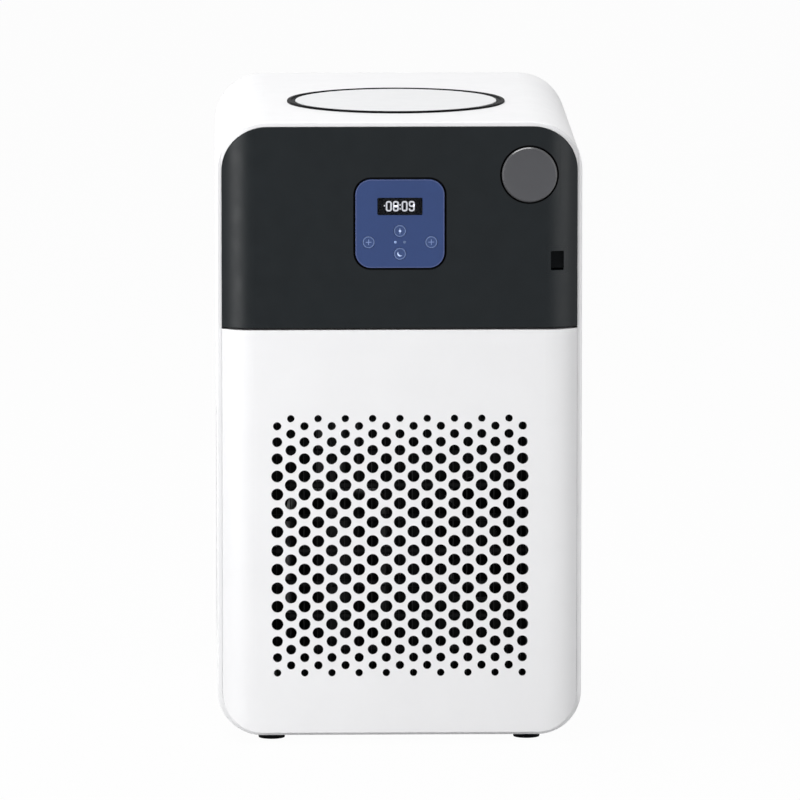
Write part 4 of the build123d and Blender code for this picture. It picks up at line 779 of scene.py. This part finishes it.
@dataclass
class Keys:
    """The four ring keys, each with a raised outline and a small sign.

    Attributes:
        shop: Where their pieces are finished.
        outline_width: Width of the ring round a dish.
        outline_inset: How far the ring stays inside the cap's edge.
        outline_height: How far the ring stands above the cap.
        dish_depth: How deep the dish is.
        edge_round: Size of the cap's roundings.
        steps: How many steps make a cap's turn.
        sign_height: Thickness of a sign.
        needle_height: Height of the top key's needle.
        needle_width: Width of the needle.
        needle_corners: How many corners it has.
        needle_waist: Where its inner corners lie, as a share of the way out.
        crescent_radius: Outer radius of the bottom key's crescent.
        crescent_stroke: Its greatest width.
        crescent_start: Angle in degrees of its first tip.
        crescent_sweep: Degrees from its first tip to its second.
        crescent_steps: How many steps make it.
        plus_size: Length of the plus sign's arms from its middle.
        plus_stroke: Width of its arms.
    """

    shop: Workshop
    outline_width: float = 0.95 * MM
    outline_inset: float = 0.05 * MM
    outline_height: float = 0.05 * MM
    dish_depth: float = 0.25 * MM
    edge_round: float = 0.2 * MM
    steps: int = 64
    sign_height: float = 0.06 * MM
    needle_height: float = 6.1 * MM
    needle_width: float = 3.0 * MM
    needle_corners: int = 8
    needle_waist: float = 0.36
    crescent_radius: float = 2.5 * MM
    crescent_stroke: float = 1.5 * MM
    crescent_start: float = 125.0
    crescent_sweep: float = 200.0
    crescent_steps: int = 14
    plus_size: float = 2.7 * MM
    plus_stroke: float = 0.7 * MM

    def build(self) -> None:
        """Builds every key."""
        signs = {
            "key_top": (self._needle, "key_sign"),
            "key_bottom": (self._crescent, "key_sign"),
            "key_left": (self._plus, "key_sign_faint"),
            "key_right": (self._plus, "key_sign_faint"),
        }
        for name, (sign, ink) in signs.items():
            low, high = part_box(name)
            radius = (high.x - low.x) / 2
            place = facing_front((low.x + high.x) / 2, low.y, (low.z + high.z) / 2)
            self._cap(name, radius, high.y - low.y, place)
            self._outline(name, radius, place)
            floor = place @ Matrix.Translation((0, 0, -self.dish_depth))
            self.shop.finish(
                f"{name}_sign", sign(), ink, name, floor, record_slot="display_light"
            )

    def _cap(self, name: str, radius: float, length: float, place: Matrix) -> None:
        """The cap with its shallow dish, turned about the key's axis.

        Args:
            name: The key's node and body.
            radius: Radius of the cap.
            length: Length from its rim to its back.
            place: Where the rim's middle goes.
        """
        rim = radius - self.outline_inset - self.outline_width
        soft = self.edge_round
        profile = [
            (0.0, -self.dish_depth),
            (rim - soft, -self.dish_depth),
            (rim, -soft),
            (rim + soft, -self.outline_height),
            (radius - soft, -self.outline_height),
            (radius, -soft - self.outline_height),
            (radius, -length),
            (0.0, -length),
        ]
        shape = self.shop.spun(profile, self.steps, closed=False)
        self.shop.finish(f"{name}_cap", shape, "key_cap", name, place, replaces=(name,))

    def _outline(self, name: str, radius: float, place: Matrix) -> None:
        """The paler ring round a key's dish.

        Args:
            name: The key's node and body.
            radius: Radius of the cap.
            place: Where the rim's middle goes.
        """
        outer = radius - self.outline_inset - self.edge_round / 2
        inner = outer - self.outline_width
        low = -self.outline_height * 2
        profile = [(inner, low), (outer, low), (outer, 0.0), (inner, 0.0)]
        shape = self.shop.spun(profile, self.steps)
        self.shop.finish(
            f"{name}_outline", shape, "key_outline", name, place, record_slot="key_cap"
        )

    def _needle(self) -> Shape:
        """An upright needle with drawn-in sides.

        Returns:
            The raised sign.
        """
        shape = bmesh.new()
        tall, wide = self.needle_height / 2, self.needle_width / 2
        corners = []
        for step in range(self.needle_corners):
            angle = math.tau * step / self.needle_corners
            waist = self.needle_waist if step % 2 else 1.0
            across, up = wide * waist * math.cos(angle), tall * waist * math.sin(angle)
            corners.append(shape.verts.new((across, up, 0)))
        shape.faces.new(corners)
        return self.shop.raised(shape, self.sign_height)

    def _crescent(self) -> Shape:
        """A crescent that opens up and to the right: a strip bent round and drawn to two tips.

        Returns:
            The raised sign.
        """
        shape = bmesh.new()
        half = 0.5
        bmesh.ops.create_grid(shape, x_segments=self.crescent_steps, y_segments=1, size=half)
        for vert in shape.verts:
            share = vert.co.x + half
            angle = math.radians(self.crescent_start + self.crescent_sweep * share)
            stroke = self.crescent_stroke * math.sin(math.pi * share)
            radius = self.crescent_radius - (stroke if vert.co.y > 0 else 0.0)
            vert.co.x = radius * math.cos(angle)
            vert.co.y = radius * math.sin(angle)
        return self.shop.raised(shape, self.sign_height)

    def _plus(self) -> Shape:
        """A plus sign: four arms drawn out of one square.

        Returns:
            The raised sign.
        """
        shape = bmesh.new()
        half = self.plus_stroke / 2
        bmesh.ops.create_grid(shape, x_segments=1, y_segments=1, size=half)
        for edge in shape.edges[:]:
            middle = (edge.verts[0].co + edge.verts[1].co) / 2
            arm = middle.normalized() * (self.plus_size - half)
            grown = bmesh.ops.extrude_edge_only(shape, edges=[edge])
            ends = [item for item in grown["geom"] if isinstance(item, bmesh.types.BMVert)]
            bmesh.ops.translate(shape, verts=ends, vec=arm)
        return self.shop.raised(shape, self.sign_height)


@dataclass
class PanelEdge:
    """The fine raised line that runs round the key panel just inside its edge, coloured paler than
    the panel as a painted highlight of that edge.

    Attributes:
        shop: Where the piece is finished.
        inset: Distance from the panel's edge.
        width: Width of the line.
        height: How far it stands up.
        corner: Radius of the panel's corners.
        corner_steps: How many steps make a corner.
    """

    shop: Workshop
    inset: float = 0.35 * MM
    width: float = 0.75 * MM
    height: float = 0.12 * MM
    corner: float = 15.0 * MM
    corner_steps: int = 12

    def build(self) -> None:
        """Draws the line as a frame with rounded corners and raises it."""
        low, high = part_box("key_panel")
        centre = (low + high) / 2
        reach = (high.x - low.x) / 2 - self.inset
        shape = bmesh.new()
        bmesh.ops.create_grid(shape, x_segments=1, y_segments=1, size=reach)
        bmesh.ops.bevel(
            shape,
            geom=shape.verts[:],
            offset=self.corner - self.inset,
            segments=self.corner_steps,
            profile=0.5,
            affect="VERTICES",
            material=-1,
        )
        panel = shape.faces[:]
        bmesh.ops.inset_region(
            shape, faces=panel, use_boundary=True, use_even_offset=True, thickness=self.width
        )
        bmesh.ops.delete(shape, geom=panel, context="FACES")
        self.shop.raised(shape, self.height)
        place = facing_front(centre.x, low.y, centre.z)
        self.shop.finish(
            "key_panel_edge", shape, "panel_edge", "root", place, record_slot="blue_panel"
        )


@dataclass
class Display:
    """The lit time on the dark display, drawn in rounded strokes.

    Attributes:
        shop: Where the piece is finished.
        digit_height: Height of a digit.
        digit_width: Width of a digit.
        stroke: Width of a stroke.
        corner: Radius of a middle line's corners.
        corner_steps: How many steps make a corner.
        centres: Where the digits' middles are, to the right of the window's.
        colon_x: Where the colon is.
        colon_heights: How high its dots are.
        colon_radius: Their radius.
        hook_rise: How far the nine's hook comes up again.
        point_place: Where the leading point is.
        point_radius: Its radius.
        dot_steps: How many steps make a dot.
    """

    shop: Workshop
    digit_height: float = 10.0 * MM
    digit_width: float = 5.7 * MM
    stroke: float = 1.45 * MM
    corner: float = 1.55 * MM
    corner_steps: int = 6
    centres: tuple[float, ...] = (-10.6 * MM, -3.9 * MM, 4.5 * MM, 11.3 * MM)
    colon_x: float = 0.2 * MM
    colon_heights: tuple[float, float] = (1.2 * MM, -2.5 * MM)
    colon_radius: float = 0.8 * MM
    hook_rise: float = 2.17 * MM
    point_place: Spot = (-14.7 * MM, 0.5 * MM)
    point_radius: float = 0.75 * MM
    dot_steps: int = 20

    def build(self) -> None:
        """Builds the digits, the colon and the leading point as one piece."""
        low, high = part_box("display_window")
        centre = (low + high) / 2
        digits_low, digits_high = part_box("display_digits")
        place = facing_front(centre.x, digits_high.y, centre.z)
        shape = bmesh.new()
        for draw, across in zip((self._zero, self._eight, self._zero, self._nine), self.centres):
            draw(shape, across)
        spots = [((self.colon_x, up), self.colon_radius) for up in self.colon_heights]
        spots.append((self.point_place, self.point_radius))
        for (across, up), radius in spots:
            dot = bmesh.ops.create_circle(
                shape, cap_ends=True, segments=self.dot_steps, radius=radius
            )
            bmesh.ops.translate(shape, verts=dot["verts"], vec=(across, up, 0))
        self.shop.raised(shape, digits_high.y - digits_low.y)
        self.shop.finish(
            "display_time", shape, "display_light", "root", place, replaces=("display_digits",)
        )

    @property
    def reach_x(self) -> float:
        """Half the width of a digit's middle line."""
        return (self.digit_width - self.stroke) / 2

    @property
    def reach_y(self) -> float:
        """Half the height of a digit's middle line."""
        return (self.digit_height - self.stroke) / 2

    def _zero(self, shape: Shape, across: float) -> None:
        """Adds a nought."""
        self._loop(shape, across, -self.reach_y, self.reach_y)

    def _eight(self, shape: Shape, across: float) -> None:
        """Adds an eight: two loops that share their middle."""
        self._loop(shape, across, 0.0, self.reach_y)
        self._loop(shape, across, -self.reach_y, 0.0)

    def _nine(self, shape: Shape, across: float) -> None:
        """Adds a nine: a loop and a hook that hangs from its right side.

        Args:
            shape: The shape to add to.
            across: Where its middle is.
        """
        self._loop(shape, across, 0.0, self.reach_y)
        right, left, bottom = across + self.reach_x, across - self.reach_x, -self.reach_y
        hook = [(right, self.corner), *self._arc(right, bottom, -1, 0)]
        hook += [*self._arc(left, bottom, 1, -90), (left, bottom + self.hook_rise)]
        self._stroke(shape, hook, closed=False)

    def _arc(self, x: float, y: float, inward: int, start: float) -> list[Spot]:
        """Points of a bottom corner, turned clockwise.

        Args:
            x: The corner's side.
            y: The corner's bottom.
            inward: 1 where the middle of the arc is to the right, -1 to the left.
            start: Angle in degrees at which the arc starts.

        Returns:
            The points in order.
        """
        middle_x, middle_y = x + inward * self.corner, y + self.corner
        points = []
        for step in range(self.corner_steps + 1):
            angle = math.radians(start - 90 * step / self.corner_steps)
            across, up = self.corner * math.cos(angle), self.corner * math.sin(angle)
            points.append((middle_x + across, middle_y + up))
        return points

    def _loop(self, shape: Shape, across: float, bottom: float, top: float) -> None:
        """Adds a closed loop with rounded corners.

        Args:
            shape: The shape to add to.
            across: Where its middle is.
            bottom: Height of the middle line's lower run.
            top: Height of the middle line's upper run.
        """
        left, right = across - self.reach_x, across + self.reach_x
        lower = [*self._arc(right, bottom, -1, 0), *self._arc(left, bottom, 1, -90)]
        upper = [(2 * across - x, bottom + top - y) for x, y in lower]
        self._stroke(shape, lower + upper, closed=True)

    def _stroke(self, shape: Shape, line: list[Spot], closed: bool) -> None:
        """Adds a flat band along a middle line.

        Args:
            shape: The shape to add to.
            line: Points of the middle line.
            closed: Whether the last point joins the first.
        """
        rows = []
        last = len(line) - 1
        for index, point in enumerate(line):
            before = line[index - 1] if index or closed else point
            after = line[(index + 1) % len(line)] if index < last or closed else point
            along = (Vector(after) - Vector(before)).normalized()
            aside = Vector((-along.y, along.x)) * self.stroke / 2
            middle = Vector(point)
            rows.append([shape.verts.new((*(middle + side * aside), 0)) for side in (1, -1)])
        pairs = list(zip(rows, rows[1:]))
        if closed:
            pairs.append((rows[-1], rows[0]))
        for (left, right), (next_left, next_right) in pairs:
            shape.faces.new((left, right, next_right, next_left))


@dataclass
class Lights:
    """The two small lights between the keys: the left one lit, the right one not.

    Attributes:
        shop: Where their pieces are finished.
        crown: Height of a dome.
        shoulder: Where a dome's bend is, as a share of its radius.
        shoulder_drop: How far the bend lies down, as a share of the crown.
        steps: How many steps make the turn.
    """

    shop: Workshop
    crown: float = 0.35 * MM
    shoulder: float = 0.55
    shoulder_drop: float = 0.3
    steps: int = 32

    def build(self) -> None:
        """Builds both lights as low domes on short stems."""
        low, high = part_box("indicator_lights")
        radius = (high.z - low.z) / 2
        length = high.y - low.y
        profile = [
            (0.0, 0.0),
            (radius * self.shoulder, -self.crown * self.shoulder_drop),
            (radius, -self.crown),
            (radius, -length),
            (0.0, -length),
        ]
        lights = {
            "left": (low.x + radius, "lamp", ("indicator_lights",)),
            "right": (high.x - radius, "lamp_off", ()),
        }
        for side, (x, slot, replaces) in lights.items():
            shape = self.shop.spun(profile, self.steps, closed=False)
            place = facing_front(x, low.y, (low.z + high.z) / 2)
            self.shop.finish(
                f"light_{side}", shape, slot, "root", place, replaces, record_slot="lamp"
            )


@dataclass
class Knob:
    """The round control knob with its bright chamfer and its shaft.

    Attributes:
        shop: Where its pieces are finished.
        chamfer: Size of the chamfer.
        soft: Size of the rounding beside the chamfer.
        chamfer_lean: How far the chamfer's edges are drawn in by the rounding.
        dish: How deep its face is hollowed.
        dish_rise: Depth of the hollow near its edge.
        skirt: Length of the wide part.
        edge_proud: How far the bright edge stands out of the chamfer.
        edge_depth: Thickness of the bright edge.
        shaft_radius: Radius of the shaft.
        steps: How many steps make the turn.
        sharp: Angle in degrees past which an edge is drawn sharp.
    """

    shop: Workshop
    chamfer: float = 1.1 * MM
    soft: float = 0.275 * MM
    chamfer_lean: float = 0.09625 * MM
    dish: float = 0.12 * MM
    dish_rise: float = 0.072 * MM
    skirt: float = 4.6 * MM
    edge_proud: float = 0.03 * MM
    edge_depth: float = 0.09 * MM
    shaft_radius: float = 3.0 * MM
    steps: int = 160
    sharp: float = 50.0

    def build(self) -> None:
        """Turns the knob and its bright edge about the knob's own axis."""
        low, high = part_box("control_knob")
        radius = (high.x - low.x) / 2
        place = facing_front((low.x + high.x) / 2, low.y, (low.z + high.z) / 2)
        knob = self.shop.spun(self._outside(radius, high.y - low.y), self.steps, closed=False)
        self.shop.finish(
            "control_knob_turned",
            knob,
            "grey_knob",
            "knob",
            place,
            replaces=("control_knob",),
            sharp=self.sharp,
        )
        edge = self.shop.spun(self._edge(radius), self.steps)
        self.shop.finish(
            "control_knob_edge", edge, "knob_edge", "knob", place, record_slot="grey_knob"
        )

    def _outside(self, radius: float, length: float) -> list[Spot]:
        """Profile of the knob and its shaft.

        Args:
            radius: The knob's radius.
            length: Length from its face to the shaft's end.

        Returns:
            Radius and height of each corner.
        """
        soft = self.soft
        flat = radius - self.chamfer
        return [
            (0.0, -self.dish),
            (radius / 2, -self.dish),
            (flat - soft * 2, -self.dish_rise),
            (flat - soft, 0.0),
            (flat, -self.chamfer_lean),
            (radius - self.chamfer_lean, -self.chamfer),
            (radius, -self.chamfer - soft),
            (radius, -self.skirt + soft),
            (radius - soft, -self.skirt),
            (self.shaft_radius, -self.skirt),
            (self.shaft_radius, -length),
            (0.0, -length),
        ]

    def _edge(self, radius: float) -> list[Spot]:
        """Profile of the bright edge, a thin band on the chamfer.

        Args:
            radius: The knob's radius.

        Returns:
            Radius and height of each corner.
        """
        proud, behind = self.edge_proud, self.edge_proud - self.edge_depth
        inner = (radius - self.chamfer, -self.chamfer_lean)
        outer = (radius - self.chamfer_lean, -self.chamfer)
        front = [(across + proud, up + proud) for across, up in (inner, outer)]
        back = [(across + behind, up + behind) for across, up in (outer, inner)]
        return front + back


@dataclass
class Lamp:
    """One soft studio lamp that looks at the object.

    Attributes:
        name: The lamp's name.
        bearing: Degrees to the right of the front, seen from above.
        rise: Degrees above the object's middle.
        distance: How far off it stands.
        width: Its width.
        height: Its height.
        power: Its power in watts.
    """

    name: str
    bearing: float
    rise: float
    distance: float
    width: float
    height: float
    power: float

    def place(self, target: Vector) -> None:
        """Puts the lamp in the scene.

        Args:
            target: What it looks at.
        """
        data = bpy.data.lights.new(self.name, "AREA")
        data.shape = "RECTANGLE"
        data.size = self.width
        data.size_y = self.height
        data.energy = self.power
        lamp = bpy.data.objects.new(self.name, data)
        bearing, rise = math.radians(self.bearing), math.radians(self.rise)
        right, back = math.sin(bearing), -math.cos(bearing)
        away = Vector((right * math.cos(rise), back * math.cos(rise), math.sin(rise)))
        lamp.location = target + away * self.distance
        lamp.rotation_euler = away.to_track_quat("Z", "Y").to_euler()
        bpy.context.scene.collection.objects.link(lamp)


@dataclass
class Studio:
    """Camera, lamps, floor and surroundings.

    Attributes:
        camera_place: Where the camera stands.
        camera_pitch: Degrees by which it looks down.
        camera_yaw: Degrees by which it looks to the right.
        lens: Its focal length in millimetres.
        sensor: Width of its sensor in millimetres.
        view_reach: How far it sees.
        target: What the lamps look at.
        lamps: The lamps.
        white: Colour of the surroundings.
        ambient: Strength of the surroundings as light.
        floor_size: Length of the floor's sides.
        floor_back: How much farther the floor reaches back than forward.
        floor_grey: Brightness of the floor's paper.
        floor_white: How much of the floor is plain white where it is seen or mirrored.
    """

    camera_place: Point = (-0.2095, -9.50985, 1.6496)
    camera_pitch: float = 8.077
    camera_yaw: float = 1.295
    lens: float = 439.7
    sensor: float = 36.0
    view_reach: float = 200.0
    target: Point = (0.0, 0.0, 0.3)
    lamps: tuple[Lamp, ...] = (
        Lamp(
            "key_strip", bearing=-44.0, rise=6.0, distance=2.1, width=0.92, height=1.3, power=28.5
        ),
        Lamp(
            "right_strip", bearing=46.0, rise=7.0, distance=3.6, width=2.6, height=1.9, power=60.0
        ),
        Lamp(
            "top_softbox",
            bearing=-72.0,
            rise=74.0,
            distance=3.4,
            width=2.6,
            height=2.6,
            power=120.0,
        ),
        Lamp(
            "back_fill", bearing=-140.0, rise=0.0, distance=2.6, width=1.0, height=0.55, power=16.0
        ),
    )
    white: tuple[float, ...] = (1.0, 1.0, 1.0, 1.0)
    ambient: float = 0.08
    floor_size: float = 60.0
    floor_back: float = 22.0
    floor_grey: float = 0.5
    floor_white: float = 0.975

    def build(self) -> None:
        """Sets the whole studio."""
        scene = bpy.context.scene
        scene.view_settings.view_transform = "Standard"
        self._camera(scene)
        self._world(scene)
        self._floor(scene)
        for lamp in self.lamps:
            lamp.place(Vector(self.target))
        log.info("studio set with %d lamps", len(self.lamps))

    def _camera(self, scene: bpy.types.Scene) -> None:
        """Adds the camera where the photograph was taken from.

        Args:
            scene: The scene that it films.
        """
        data = bpy.data.cameras.new("camera")
        data.lens = self.lens
        data.sensor_width = self.sensor
        data.clip_end = self.view_reach
        camera = bpy.data.objects.new("camera", data)
        camera.location = self.camera_place
        camera.rotation_euler = (
            math.radians(90.0 - self.camera_pitch),
            0.0,
            math.radians(-self.camera_yaw),
        )
        scene.collection.objects.link(camera)
        scene.camera = camera

    @staticmethod
    def _show(tree: Tree, out: bpy.types.Node, light: Socket, seen: Socket, share: float) -> None:
        """Mixes how a thing lights with how it is seen or mirrored.

        Args:
            tree: The material's or world's nodes.
            out: The output node to feed.
            light: The shader that lights other things.
            seen: The shader for rays that see or mirror it.
            share: How much of that second shader they get.
        """
        path = tree.nodes.new("ShaderNodeLightPath").outputs
        rays = reduce(partial(calculated, tree, "MAXIMUM"), [path[label] for label in SEEN_BY])
        mix = tree.nodes.new("ShaderNodeMixShader")
        tree.links.new(calculated(tree, "MULTIPLY", rays, share), mix.inputs["Fac"])
        tree.links.new(light, mix.inputs[1])
        tree.links.new(seen, mix.inputs[2])
        tree.links.new(mix.outputs["Shader"], out.inputs["Surface"])

    def _world(self, scene: bpy.types.Scene) -> None:
        """Even surroundings: white where they are seen or mirrored, dimmer as light.

        Args:
            scene: The scene they surround.
        """
        world = bpy.data.worlds.new("surroundings")
        scene.world = world
        world.use_nodes = True
        tree = world.node_tree
        tree.nodes.clear()
        shaders = []
        for strength in (self.ambient, 1.0):
            background = tree.nodes.new("ShaderNodeBackground")
            background.inputs["Color"].default_value = self.white
            background.inputs["Strength"].default_value = strength
            shaders.append(background.outputs["Background"])
        self._show(tree, tree.nodes.new("ShaderNodeOutputWorld"), *shaders, share=1.0)

    def _floor(self, scene: bpy.types.Scene) -> None:
        """White floor that keeps a soft shadow under the object.

        Args:
            scene: The scene it lies in.
        """
        shape = bmesh.new()
        bmesh.ops.create_grid(shape, x_segments=1, y_segments=1, size=self.floor_size / 2)
        bmesh.ops.translate(shape, verts=shape.verts, vec=(0, self.floor_back / 2, 0))
        mesh = bpy.data.meshes.new("studio_floor")
        shape.to_mesh(mesh)
        shape.free()
        floor = bpy.data.objects.new("studio_floor", mesh)
        scene.collection.objects.link(floor)
        material = bpy.data.materials.new("floor_paper")
        material.use_nodes = True
        tree = material.node_tree
        tree.nodes.clear()
        paper = tree.nodes.new("ShaderNodeBsdfDiffuse")
        paper.inputs["Color"].default_value = (*[self.floor_grey] * 3, 1.0)
        glow = tree.nodes.new("ShaderNodeEmission")
        out = tree.nodes.new("ShaderNodeOutputMaterial")
        lit, seen = paper.outputs["BSDF"], glow.outputs["Emission"]
        self._show(tree, out, lit, seen, self.floor_white)
        mesh.materials.append(material)


def main() -> None:
    """Dresses the frame, builds the detailed pieces and sets the studio."""
    logging.basicConfig(level=logging.INFO, format="%(name)s: %(message)s")
    palette = Palette(Effects())
    palette.dress_frame()
    shop = Workshop(palette)
    for assembly in (Keys(shop), PanelEdge(shop), Display(shop), Lights(shop), Knob(shop)):
        assembly.build()
    Studio().build()


if __name__ == "__main__":
    main()
